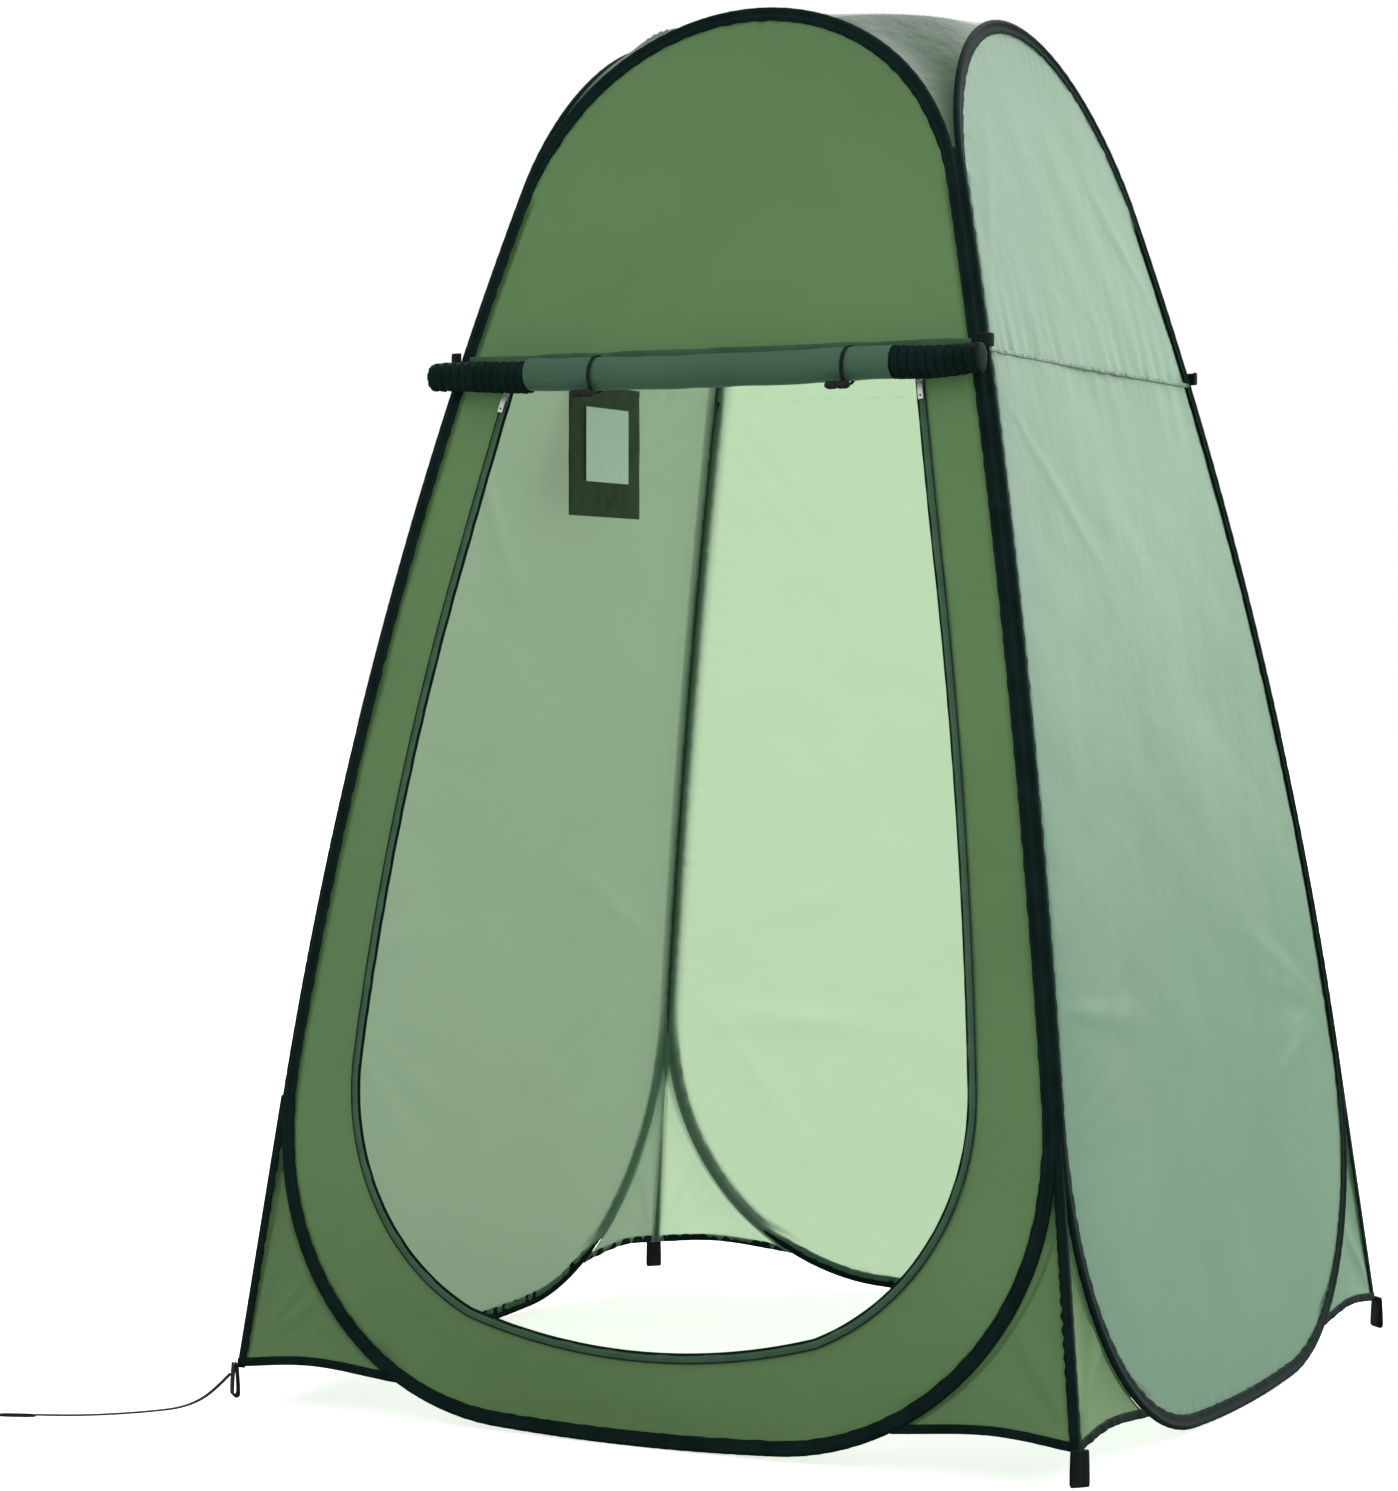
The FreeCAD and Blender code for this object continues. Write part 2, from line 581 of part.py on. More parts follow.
def zip_slide(name, sign):
    """A zip slider on the upper end of the track, and the pull that hangs from its bridge."""
    z = S.door_top_height - S.slider_drop
    run = (S.door_straight_half_width - S.door_top_half_width) / (
        S.door_top_height - S.door_straight_height)
    x = sign * (S.door_top_half_width + run * S.slider_drop + S.zip_tape_width / 2)
    lift = S.cloth / 2 + TAPE_LIFT + S.zip_tape_thickness + S.slider_lift
    seat = leaning_front(x, z, lift, -sign * math.degrees(math.atan(run)))
    half, wide, narrow = S.slider_length / 2, S.slider_width / 2, S.slider_width / 3
    outline = [V(-wide, 0, half), V(wide, 0, half), V(narrow, 0, -half), V(-narrow, 0, -half)]
    body = Part.Face(Part.makePolygon(outline + outline[:1]))
    body = body.extrude(V(0, -S.slider_thickness, 0))
    pin = V(0, -S.slider_thickness - S.pin_lift, S.pin_height)

    def barrel(radius, length):
        return Part.makeCylinder(radius, length, pin - V(length / 2, 0, 0), V(1, 0, 0))

    def plate(width, low, high):
        corner = pin + V(-width / 2, -S.pull_thickness / 2, low)
        return Part.makeBox(width, S.pull_thickness, high - low, corner)
    ear = Part.makeBox(S.ear_thickness, S.pin_lift + 2 * S.ear_margin, S.ear_height,
                       pin + V(S.ear_gap / 2, -S.ear_margin, -S.ear_height / 2))
    rod = barrel(S.pin_diameter / 2, S.ear_gap + 2 * S.ear_thickness)
    slider = body.fuse([ear, ear.mirror(V(0, 0, 0), V(1, 0, 0)), rod])
    keep(feature("zip_slider_" + name, slider, seat), "zip_slider_" + name)
    eye = barrel(S.pull_eye_radius, S.pull_neck_width)
    neck = plate(S.pull_neck_width, -S.pull_neck_length, 0)
    leaf = plate(S.pull_width, -S.pull_length, -S.pull_neck_length)
    hole = Part.makeCylinder(S.pull_hole_radius, 2 * S.pull_thickness,
                             pin + V(0, -S.pull_thickness, S.pull_hole_inset - S.pull_length),
                             V(0, 1, 0))
    bore = barrel(S.pin_diameter / 2 + PIN_PLAY, S.pull_width)
    pull = leaf.fuse([neck, eye]).cut(bore).cut(hole)
    keep(feature("zip_pull_" + name, pull, seat), "zip_pull_" + name)


# ---------------------------------------------------------------- inside pocket and its card
def pocket():
    """The pocket that hangs plumb inside the left wall, open at the top, with a loose card."""
    corner = on_front(-S.pocket_offset - S.pocket_width / 2, S.pocket_base + S.pocket_tall,
                      -S.cloth / 2 - S.pocket_gap)
    corner.z = S.pocket_base
    seat = turned(WALLS["left"]).multiply(FreeCAD.Placement(corner, FreeCAD.Rotation()))
    outer = primitive("Part::Box", "pocket_block", seat, Length="sizes.pocket_width",
                      Width="sizes.pocket_depth", Height="sizes.pocket_tall")
    inside = seat.multiply(FreeCAD.Placement(V(S.pocket_wall, S.pocket_wall, S.pocket_wall),
                                             FreeCAD.Rotation()))
    hollow = primitive("Part::Box", "pocket_hollow", inside,
                       Length="sizes.pocket_width - 2 * sizes.pocket_wall",
                       Width="sizes.pocket_depth - 2 * sizes.pocket_wall",
                       Height="sizes.pocket_tall")
    keep(boolean("Part::Cut", "inner_pocket", outer, hollow), "inner_pocket")
    card_seat = seat.multiply(FreeCAD.Placement(
        V((S.pocket_width - S.sheet_width) / 2, S.pocket_depth / 2, S.card_lift),
        FreeCAD.Rotation()))
    card = primitive("Part::Box", "pocket_card", card_seat, Length="sizes.sheet_width",
                     Width="sizes.sheet_thickness", Height="sizes.sheet_tall")
    keep(card, "pocket_card")


# ---------------------------------------------------------------- loose strap at one corner
STRAP_POINTS = [V(-619, -620, 40), V(-627, -640, 24), V(-637, -665, 10), V(-650, -695, 3.6),
                V(-668, -727, 3.6), V(-694, -759, 3.6), V(-726, -788, 3.6), V(-762, -809, 3.6),
                V(-795, -822, 3.6)]
SHARE_OF_RUN = 0.45


def strap_path(points):
    """Straight runs joined by the largest tangent arcs that their lengths allow."""
    edges, radii = [], []
    start = points[0]
    for before, here, after in zip(points, points[1:], points[2:]):
        back, ahead = before - here, after - here
        reach = SHARE_OF_RUN * min(back.Length, ahead.Length)
        turn = math.pi - back.getAngle(ahead)
        radius = reach / math.tan(turn / 2)
        enter = here + back.normalize() * reach
        leave = here + ahead.normalize() * reach
        to_centre = ((enter - here) + (leave - here)).normalize()
        centre = here + to_centre * math.hypot(radius, reach)
        middle = centre - to_centre * radius
        edges.append(Part.LineSegment(start, enter).toShape())
        edges.append(Part.Arc(enter, middle, leave).toShape())
        radii.append(radius)
        start = leave
    edges.append(Part.LineSegment(start, points[-1]).toShape())
    return Part.Wire(edges), radii


def guy_strap():
    path, radii = strap_path(STRAP_POINTS)
    shape = swept(path, S.strap_diameter)
    expected = math.pi * S.strap_diameter ** 2 / 4 * path.Length
    print("strap length %.0f radii %s volume ratio %.4f" % (
        path.Length, [round(r) for r in radii], shape.Volume / expected))
    keep(feature("guy_strap", shape), "guy_strap")
    heading = STRAP_POINTS[-1] - STRAP_POINTS[-2]
    angle = math.degrees(math.atan2(heading.y, heading.x))
    length, width, thick = S.strap_loop_length, S.strap_loop_width, S.strap_loop_thickness

    def link(length, width):
        radius = width / 2
        a, b = V(radius, radius, 0), V(length - radius, radius, 0)
        c, d = V(length - radius, -radius, 0), V(radius, -radius, 0)
        edges = [Part.LineSegment(a, b).toShape(), Part.Arc(b, V(length, 0, 0), c).toShape(),
                 Part.LineSegment(c, d).toShape(), Part.Arc(d, V(0, 0, 0), a).toShape()]
        return Part.Face(Part.Wire(edges)).extrude(UP * thick)
    edge = S.strap_loop_edge
    hole = link(length - 2 * edge, width - 2 * edge).translated(V(edge, 0, 0))
    end = STRAP_POINTS[-1]
    seat = FreeCAD.Placement(V(end.x, end.y, S.strap_loop_lift), FreeCAD.Rotation(UP, angle))
    keep(feature("strap_end_loop", link(length, width).cut(hole), seat), "strap_end_loop")


# ---------------------------------------------------------------- the whole tent
for wall, angle in WALLS.items():
    # The back hoop is a little narrow on the open corner's side, where it isn't hinged.
    narrow = S.open_corner_gap / 2 if wall == "back" else 0.0
    placement = turned(angle, V(-narrow, 0, 0))
    hoop_pieces(wall, narrow, placement)
    cloth_wall(wall, narrow, placement)
for corner, angle in CORNERS.items():
    corner_cloth(corner, turned(angle))
roof()
header_band()
zip_tape()
rolled_door()
zip_slide("left", -1)
zip_slide("right", 1)
pocket()
guy_strap()

doc.recompute()
for obj in doc.Objects:
    broken = {"Invalid", "Error"} & set(obj.State)
    if broken:
        raise RuntimeError("%s failed: %s" % (obj.Label, obj.State))
os.makedirs("parts", exist_ok=True)
for obj in NODES:
    shape = obj.Shape
    if shape.isNull() or not shape.isValid() or not shape.Solids:
        raise RuntimeError("%s has no valid solid" % obj.Label)
    shape.exportStep("parts/%s.step" % obj.Label)
print("nodes", len(NODES))
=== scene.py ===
"""Looks of the pop-up privacy tent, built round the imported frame.

Metres, +Z up, the doorway faces -Y.  A wall is drawn flat, as x across and z up, laid on its
leaning surface as the front wall, and turned about Z into its place.
"""
import math

import bpy
import numpy as np
from mathutils import Matrix, Vector


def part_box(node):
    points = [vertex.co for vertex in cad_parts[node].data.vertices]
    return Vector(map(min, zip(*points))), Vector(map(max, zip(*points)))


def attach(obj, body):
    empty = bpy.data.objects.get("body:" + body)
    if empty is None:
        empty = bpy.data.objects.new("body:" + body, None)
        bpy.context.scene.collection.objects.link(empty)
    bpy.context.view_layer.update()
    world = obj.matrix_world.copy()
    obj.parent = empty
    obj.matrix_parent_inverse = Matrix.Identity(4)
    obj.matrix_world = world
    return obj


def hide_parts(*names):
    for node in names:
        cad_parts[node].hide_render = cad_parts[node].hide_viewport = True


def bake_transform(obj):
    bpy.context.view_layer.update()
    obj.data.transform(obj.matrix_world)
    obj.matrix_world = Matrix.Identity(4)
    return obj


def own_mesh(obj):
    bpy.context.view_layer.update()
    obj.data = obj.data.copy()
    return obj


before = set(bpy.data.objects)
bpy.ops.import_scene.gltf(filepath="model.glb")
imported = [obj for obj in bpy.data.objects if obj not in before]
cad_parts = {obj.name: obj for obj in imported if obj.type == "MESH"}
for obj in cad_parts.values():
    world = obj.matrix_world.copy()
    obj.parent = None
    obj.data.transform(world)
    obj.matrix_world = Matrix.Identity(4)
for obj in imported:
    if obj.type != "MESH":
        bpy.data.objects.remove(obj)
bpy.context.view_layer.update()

# ---------------------------------------------------------------- driving values (m)
KNEE_HALF, KNEE_Z = 0.562, 0.430          # the corner seam's lower end
CROWN_HALF, CROWN_Z = 0.323, 1.666        # and its upper end
SEAM_BULGE = 0.023
FOOT_BEND, ARCH_BEND = 0.379, 0.268       # radii of a hoop's first foot arc and first arch arc
TUBE = 0.0045                             # radius of the sleeve round the spring wire
HALF_PITCH = 0.0045                       # a hoop's distance from the corner seam
OPEN_INSET = 0.006                        # the back hoop is narrower on each side by this
SHOULDER_Z, HEIGHT = 1.415, 1.9
HEM_Z, HEM_WIDTH = 0.050, 0.012
HOOP_STEP = 0.006                         # between the stations along a hoop
FLANGE_FREE, FLANGE_SEAM = 0.0155, 0.0105  # binding's reach inside the wire, free and at a seam
WALLS = {"front": 0, "right": 90, "back": 180, "left": 270}
CORNERS = {"front_right": 0, "back_right": 90, "back_left": 180, "front_left": 270}
# The walls that meet at each corner: the one that carries its first half, then its second.
MEETING = {"front_right": ("front", "right"), "back_right": ("right", "back"),
           "back_left": ("back", "left"), "front_left": ("left", "front")}
# The wall that carries a corner's loose tabs.
OWNER = {"front_right": "front", "back_right": "right", "back_left": "left",
         "front_left": "front"}
OPEN_CORNER = "back_right"                # no joint holds this one
TOP_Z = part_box("hoop_sleeve_front")[1].z
rng = np.random.default_rng(7)


# ---------------------------------------------------------------- the tent's own geometry
class Seam:
    """The corner seam: an arc in the diagonal plane between the knee and the crown."""

    def __init__(self):
        self.root = math.sqrt(2)
        low = np.array([KNEE_HALF * self.root, KNEE_Z])
        high = np.array([CROWN_HALF * self.root, CROWN_Z])
        chord = float(np.linalg.norm(high - low))
        bulge = SEAM_BULGE * self.root
        self.radius = (chord ** 2 / 4 + bulge ** 2) / (2 * bulge)
        along = (high - low) / chord
        self.centre = (low + high) / 2 - np.array([along[1], -along[0]]) * (self.radius - bulge)
        self.knee_slope, self.crown_slope = self.slope(KNEE_Z), self.slope(CROWN_Z)

    def reach(self, z):
        return np.sqrt(np.maximum(self.radius ** 2 - (z - self.centre[1]) ** 2, 1e-9))

    def slope(self, z):
        return -(z - self.centre[1]) / self.reach(z) / self.root


seam = Seam()


def half_width(z):
    """Half the tent's width, corner seam to corner seam, at a height."""
    z = np.asarray(z, float)
    low = KNEE_HALF + seam.knee_slope * (z - KNEE_Z)
    high = CROWN_HALF + seam.crown_slope * (z - CROWN_Z)
    arc = (seam.centre[0] + seam.reach(z)) / seam.root
    return np.where(z < KNEE_Z, low, np.where(z > CROWN_Z, high, arc))


def wall_distance(z):
    return half_width(z) + HALF_PITCH


def wall_normal(z):
    """The front wall's outward normal at each height."""
    z = np.asarray(z, float)
    rise = (wall_distance(z - 1e-3) - wall_distance(z + 1e-3)) / 2e-3
    normal = np.stack([np.zeros_like(rise), -np.ones_like(rise), rise], -1)
    return normal / np.linalg.norm(normal, axis=-1, keepdims=True)


def on_wall(x, z, offset=0.0):
    """Points of the front wall's surface, lifted outwards by an offset."""
    x, z = np.broadcast_arrays(np.asarray(x, float), np.asarray(z, float))
    flat = np.stack([x, -wall_distance(z), z], -1)
    return flat + wall_normal(z) * np.asarray(offset, float)[..., None]


def about_z(points, degrees):
    angle = math.radians(degrees)
    c, s = math.cos(angle), math.sin(angle)
    return np.asarray(points) @ np.array([[c, s, 0], [-s, c, 0], [0, 0, 1]])


def turned(points, wall):
    """Carry points of the front wall to another wall."""
    return about_z(points, WALLS[wall]) + [-OPEN_INSET if wall == "back" else 0.0, 0, 0]


def spin(points, corner):
    """Carry points of the front right corner to another corner."""
    return about_z(points, CORNERS[corner])


def arc_points(centre, start, end, count):
    """Points of a flat arc about a centre, the short way from start to end."""
    first, last = start - centre, end - centre
    a0 = math.atan2(first[1], first[0])
    turn = (math.atan2(last[1], last[0]) - a0 + math.pi) % (2 * math.pi) - math.pi
    angles = a0 + np.linspace(0, turn, count)
    radius = float(np.linalg.norm(first))
    return centre + radius * np.stack([np.cos(angles), np.sin(angles)], -1)


def two_arcs(start_x, slope, first_radius, end, sign):
    """Two tangent arcs in a hoop's leaning plane, from (start_x, 0) to (0, end)."""
    start = np.array([start_x, 0.0])
    inward = np.array([-1.0, slope]) / math.hypot(slope, 1.0)
    first = start + inward * first_radius
    drop = first[1] - end
    second_radius = ((first_radius ** 2 - first[0] ** 2 - drop ** 2)
                     / (2 * (sign * drop + first_radius)))
    second = np.array([0.0, end - sign * second_radius])
    away = (first - second) / np.linalg.norm(first - second)
    meet = first + away * first_radius * (-1 if second_radius < first_radius else 1)
    return np.concatenate([arc_points(first, start, meet, 120),
                           arc_points(second, meet, np.array([0.0, end]), 120)[1:]])


def evenly(points, step):
    """A line's points spaced evenly along its length."""
    length = lengths(points)
    at = np.linspace(0, length[-1], max(2, int(round(length[-1] / step)) + 1))
    return np.stack([np.interp(at, length, points[:, k]) for k in range(points.shape[1])], -1)


def at_shares(line, t):
    """A line's points at these shares of its length."""
    share = lengths(line) / lengths(line)[-1]
    return np.stack([np.interp(t, share, line[:, k]) for k in range(line.shape[1])], -1)


def hoop_half(inset=0.0):
    """The right half of a hoop's wire, from the foot's middle to the arch's middle."""
    def leaning(points, slope, height):
        tilt = math.hypot(slope, 1.0)
        rise = points[:, 1] / tilt
        return np.stack([points[:, 0], -(wall_distance(height) + slope * rise), height + rise], -1)

    low_tilt = math.hypot(seam.knee_slope, 1.0)
    high_tilt = math.hypot(seam.crown_slope, 1.0)
    foot = two_arcs(KNEE_HALF - HALF_PITCH - inset, seam.knee_slope / low_tilt, FOOT_BEND,
                    (TUBE - KNEE_Z) * low_tilt, -1)
    arch = two_arcs(CROWN_HALF - HALF_PITCH - inset, seam.crown_slope / high_tilt, ARCH_BEND,
                    (TOP_Z - TUBE - CROWN_Z) * high_tilt, 1)
    z = np.linspace(KNEE_Z, CROWN_Z, 240)[1:-1]
    rise = np.stack([half_width(z) - HALF_PITCH - inset, -wall_distance(z), z], -1)
    whole = [leaning(foot[::-1], seam.knee_slope, KNEE_Z), rise,
             leaning(arch, seam.crown_slope, CROWN_Z)]
    return evenly(np.concatenate(whole), HOOP_STEP)


# ---------------------------------------------------------------- uneven waves, all seeded
def ripple(along, wavelength, count=7):
    """A smooth uneven wave of about unit size along one measure."""
    total = np.zeros_like(np.asarray(along, float))
    for _ in range(count):
        pitch = wavelength * rng.uniform(0.6, 1.8)
        total = total + np.sin(2 * math.pi * along / pitch + rng.uniform(0, 2 * math.pi))
    return total / math.sqrt(count)


def swell(x, z, wavelength, count=9):
    """A smooth uneven field of about unit size over two measures."""
    total = np.zeros_like(x)
    for _ in range(count):
        heading, pitch = rng.uniform(0, math.pi), wavelength * rng.uniform(0.7, 1.6)
        run = x * math.cos(heading) + z * math.sin(heading)
        total = total + np.sin(2 * math.pi * run / pitch + rng.uniform(0, 2 * math.pi))
    return total / math.sqrt(count)


def crease(x, z, start, end, width):
    """A soft ridge of unit height along a line, which dies out at both of its ends."""
    a, b = np.array(start), np.array(end)
    run = b - a
    t = ((x - a[0]) * run[0] + (z - a[1]) * run[1]) / (run @ run)
    off = np.abs((x - a[0]) * run[1] - (z - a[1]) * run[0]) / np.linalg.norm(run)
    inside = np.clip(t, 0, 1)
    ridge = np.exp(-(off / (width * (0.35 + inside))) ** 2)
    return ridge * np.sin(math.pi * inside) ** 0.7 * ((t > 0) & (t < 1))


def smooth(t):
    t = np.clip(t, 0, 1)
    return t * t * (3 - 2 * t)


def hann(count):
    """The weights of a smoothing window."""
    return np.hanning(count) / np.hanning(count).sum()


# ---------------------------------------------------------------- mesh helpers
def grid_faces(rows, columns, close_rows=False, close_columns=False):
    faces = []
    for i in range(rows if close_rows else rows - 1):
        for j in range(columns if close_columns else columns - 1):
            a, b = i * columns + j, i * columns + (j + 1) % columns
            up = ((i + 1) % rows) * columns
            faces.append((a, b, up + (j + 1) % columns, up + j))
    return faces


def added(name, data):
    """A new object in the scene."""
    obj = bpy.data.objects.new(name, data)
    bpy.context.scene.collection.objects.link(obj)
    return obj


def piece(name, points, faces, material, body=None, along=None, across=None,
          stands_for=None):
    """A smooth mesh object on its body, with its lengthwise and crosswise measures."""
    mesh = bpy.data.meshes.new(name)
    points = np.asarray(points, float).reshape(-1, 3)
    mesh.from_pydata(points.tolist(), [], faces)
    for label, values in (("along", along), ("across", across)):
        if values is not None:
            layer = mesh.attributes.new(label, "FLOAT", "POINT")
            layer.data.foreach_set("value", np.asarray(values, np.float32).ravel())
    mesh.shade_smooth()
    mesh.update()
    obj = added(name, mesh)
    mesh.materials.append(material)
    if body:
        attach(obj, body)
    if stands_for:
        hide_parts(stands_for)
    return obj


def flipped(faces):
    return [face[::-1] for face in faces]


def joined(parts):
    """Several (points, faces, along, across) sets as one."""
    points, faces, along, across, start = [], [], [], [], 0
    for p, f, a, c in parts:
        p = np.asarray(p).reshape(-1, 3)
        points.append(p)
        faces += [tuple(v + start for v in face) for face in f]
        along.append(np.asarray(a).ravel())
        across.append(np.asarray(c).ravel())
        start += len(p)
    return np.concatenate(points), faces, np.concatenate(along), np.concatenate(across)


def unit(v):
    return v / np.maximum(np.linalg.norm(v, axis=-1, keepdims=True), 1e-12)


def tangents(path, closed=False):
    if closed:
        return unit(np.roll(path, -1, 0) - np.roll(path, 1, 0))
    return unit(np.gradient(path, axis=0))


def lengths(path):
    return np.concatenate([[0], np.cumsum(np.linalg.norm(np.diff(path, axis=0), axis=1))])


def lofted(path, side, face, profile, closed=False):
    """A profile carried along a path; profile gives (across, lift) rows, one for each station."""
    path, side, face = (np.asarray(v, float) for v in (path, side, face))
    profile = np.broadcast_to(profile, (len(path),) + np.shape(profile)[-2:])
    points = (path[:, None] + side[:, None] * profile[..., :1] + face[:, None] * profile[..., 1:])
    rows, columns = points.shape[:2]
    faces = grid_faces(rows, columns, closed, True)
    if not closed:
        faces += [tuple(range(columns))[::-1],
                  tuple((rows - 1) * columns + j for j in range(columns))]
    along = np.repeat(lengths(path), columns)
    return points.reshape(-1, 3), faces, along, profile[..., 0].ravel()


def tape_profile(width, thick):
    """A flat tape's section with rounded edges."""
    w, t = width / 2, thick / 2
    return np.array([(-w, 0), (-w + t * 0.6, t * 0.85), (-w * 0.5, t), (w * 0.5, t),
                     (w - t * 0.6, t * 0.85), (w, 0), (w - t * 0.6, -t * 0.85),
                     (w * 0.5, -t), (-w * 0.5, -t), (-w + t * 0.6, -t * 0.85)])


def ring_profile(radius, sides=10):
    angles = np.arange(sides) * 2 * math.pi / sides
    return radius * np.stack([np.cos(angles), np.sin(angles)], -1)


def framed(path, hint, closed=False):
    """Side and face vectors along a path, with the face as near to a hint as it can be."""
    along = tangents(path, closed)
    face = np.broadcast_to(np.asarray(hint, float), path.shape)
    face = unit(face - along * (face * along).sum(-1, keepdims=True))
    return np.cross(along, face), face


def strip(name, path, side, face, profile, material, body, stands_for=None, closed=False,
          carry=None):
    """A profile along a path as a piece; carry takes its points from the front to their place."""
    points, faces, along, across = lofted(path, side, face, profile, closed)
    if carry:
        points = carry(points)
    return piece(name, points, faces, material, body, along, across, stands_for)


# ---------------------------------------------------------------- materials
def shader(name):
    material = bpy.data.materials.new(name)
    material.use_nodes = True
    tree = material.node_tree
    tree.nodes.clear()
    output = tree.nodes.new("ShaderNodeOutputMaterial")
    return material, tree, output


def link(tree, source, target):
    tree.links.new(source, target)


def node(tree, kind, **values):
    made = tree.nodes.new(kind)
    for key, value in values.items():
        if hasattr(made, key):
            setattr(made, key, value)
        else:
            made.inputs[key.replace("_", " ")].default_value = value
    return made


def attribute(tree, name):
    return node(tree, "ShaderNodeAttribute", attribute_name=name).outputs["Fac"]


def math_node(tree, operation, first, second=None):
    made = node(tree, "ShaderNodeMath", operation=operation)
    for socket, value in zip(made.inputs, (first, second)):
        if value is None:
            continue
        if isinstance(value, (int, float)):
            socket.default_value = value
        else:
            link(tree, value, socket)
    return made.outputs[0]


def wave_of(tree, source, pitch):
    """0 to 1 and back along a measure, once each pitch."""
    turns = math_node(tree, "MULTIPLY", source, 2 * math.pi / pitch)
    return math_node(tree, "MULTIPLY_ADD", math_node(tree, "SINE", turns), 0.5)


def bumped(tree, heights):
    """A normal from several (height, depth in metres) pairs, one after another."""
    normal = None
    for height, depth in heights:
        bump = node(tree, "ShaderNodeBump", Strength=1.0, Distance=depth)
        link(tree, height, bump.inputs["Height"])
        if normal is not None:
            link(tree, normal, bump.inputs["Normal"])
        normal = bump.outputs["Normal"]
    return normal


def mixed(tree, share, first, second):
    """A mix of two colours, the first of which may be another shader node's."""
    mix = node(tree, "ShaderNodeMix", data_type="RGBA")
    link(tree, share, mix.inputs[0])
    if isinstance(first, tuple):
        mix.inputs[6].default_value = (*first, 1)
    else:
        link(tree, first, mix.inputs[6])
    mix.inputs[7].default_value = (*second, 1)
    return mix.outputs[2]


def varied(tree, low, high, scale):
    """A colour that drifts between two shades over the piece."""
    place = node(tree, "ShaderNodeTexCoord").outputs["Object"]
    noise = node(tree, "ShaderNodeTexNoise", Scale=scale, Detail=3.0)
    link(tree, place, noise.inputs["Vector"])
    spread = node(tree, "ShaderNodeMapRange", From_Min=0.35, From_Max=0.65)
    link(tree, noise.outputs["Fac"], spread.inputs["Value"])
    return mixed(tree, spread.outputs["Result"], low, high), place


def seen_apart(tree, others, seen, output):
    """Camera rays meet one shader, and all other rays another."""
    pick = node(tree, "ShaderNodeMixShader")
    link(tree, tree.nodes.new("ShaderNodeLightPath").outputs["Is Camera Ray"], pick.inputs[0])
    link(tree, others.outputs[0], pick.inputs[1])
    link(tree, seen.outputs[0], pick.inputs[2])
    link(tree, pick.outputs[0], output.inputs[0])


def surface(tree, colour, normal, roughness, specular, sheen=0.0, sheen_roughness=0.5,
            metallic=0.0):
    """The outer face's shader."""
    face = node(tree, "ShaderNodeBsdfPrincipled", Roughness=roughness, Metallic=metallic)
    for label, value in (("Sheen Weight", sheen), ("Sheen Roughness", sheen_roughness),
                         ("Specular IOR Level", specular)):
        face.inputs[label].default_value = value
    link(tree, colour, face.inputs["Base Color"])
    link(tree, normal, face.inputs["Normal"])
    return face.outputs[0]


def cloth(name, low, high, through, share, roughness=0.5, sheen=0.08, crinkle=0.0012):
    """Thin coated polyester: a fine plain weave, soft crinkles, and light that comes through."""
    material, tree, output = shader(name)
    colour, place = varied(tree, low, high, 2.2)
    weave = math_node(tree, "MULTIPLY", wave_of(tree, attribute(tree, "across"), 0.0011),
                      wave_of(tree, attribute(tree, "along"), 0.0011))
    soft = node(tree, "ShaderNodeTexNoise", Scale=9.0, Detail=4.0, Roughness=0.55)
    fine = node(tree, "ShaderNodeTexNoise", Scale=55.0, Detail=2.0)
    link(tree, place, soft.inputs["Vector"])
    link(tree, place, fine.inputs["Vector"])
    normal = bumped(tree, [(soft.outputs["Fac"], crinkle * 5),
                           (fine.outputs["Fac"], crinkle * 0.4), (weave, 0.00003)])
    face = surface(tree, colour, normal, roughness, 0.35, sheen, 0.45)
    back = node(tree, "ShaderNodeBsdfTranslucent", Color=(*through, 1))
    mix = node(tree, "ShaderNodeMixShader", Fac=share)
    link(tree, normal, back.inputs["Normal"])
    link(tree, face, mix.inputs[1])
    link(tree, back.outputs[0], mix.inputs[2])
    link(tree, mix.outputs[0], output.inputs[0])
    return material


def woven(name, low, high, rib, depth, roughness=0.7, sheen=0.03, stitch=None):
    """Tape or webbing: ribs across its length, a fine weave, and stitches where it has them."""
    material, tree, output = shader(name)
    colour, _ = varied(tree, low, high, 30.0)
    along, across = attribute(tree, "along"), attribute(tree, "across")
    ribs = wave_of(tree, along, rib)
    threads = wave_of(tree, across, rib * 0.7)
    heights = [(math_node(tree, "MULTIPLY", ribs, threads), depth)]
    if stitch is not None:
        # A dash every 3.2 mm on a line at this distance from the tape's middle.
        offset = math_node(tree, "ABSOLUTE", math_node(tree, "SUBTRACT", across, stitch))
        on_line = math_node(tree, "LESS_THAN", offset, 0.0006)
        dash = math_node(tree, "GREATER_THAN", wave_of(tree, along, 0.0032), 0.35)
        mark = math_node(tree, "MULTIPLY", on_line, dash)
        heights.append((mark, 0.0004))
        colour = mixed(tree, mark, colour, [min(1, 1.5 * c + 0.004) for c in high])
    face = surface(tree, colour, bumped(tree, heights), roughness, 0.06, sheen)
    link(tree, face, output.inputs[0])
    return material


def moulded(name, low, high, roughness, metallic=0.0, grain=220.0, depth=0.00012):
    """Plastic, metal or card: a fine grain, and shades that drift a little."""
    material, tree, output = shader(name)
    colour, place = varied(tree, low, high, 60.0)
    noise = node(tree, "ShaderNodeTexNoise", Scale=grain, Detail=3.0)
    link(tree, place, noise.inputs["Vector"])
    grained = bumped(tree, [(noise.outputs["Fac"], depth)])
    face = surface(tree, colour, grained, roughness, 0.25, metallic=metallic)
    link(tree, face, output.inputs[0])
    return material


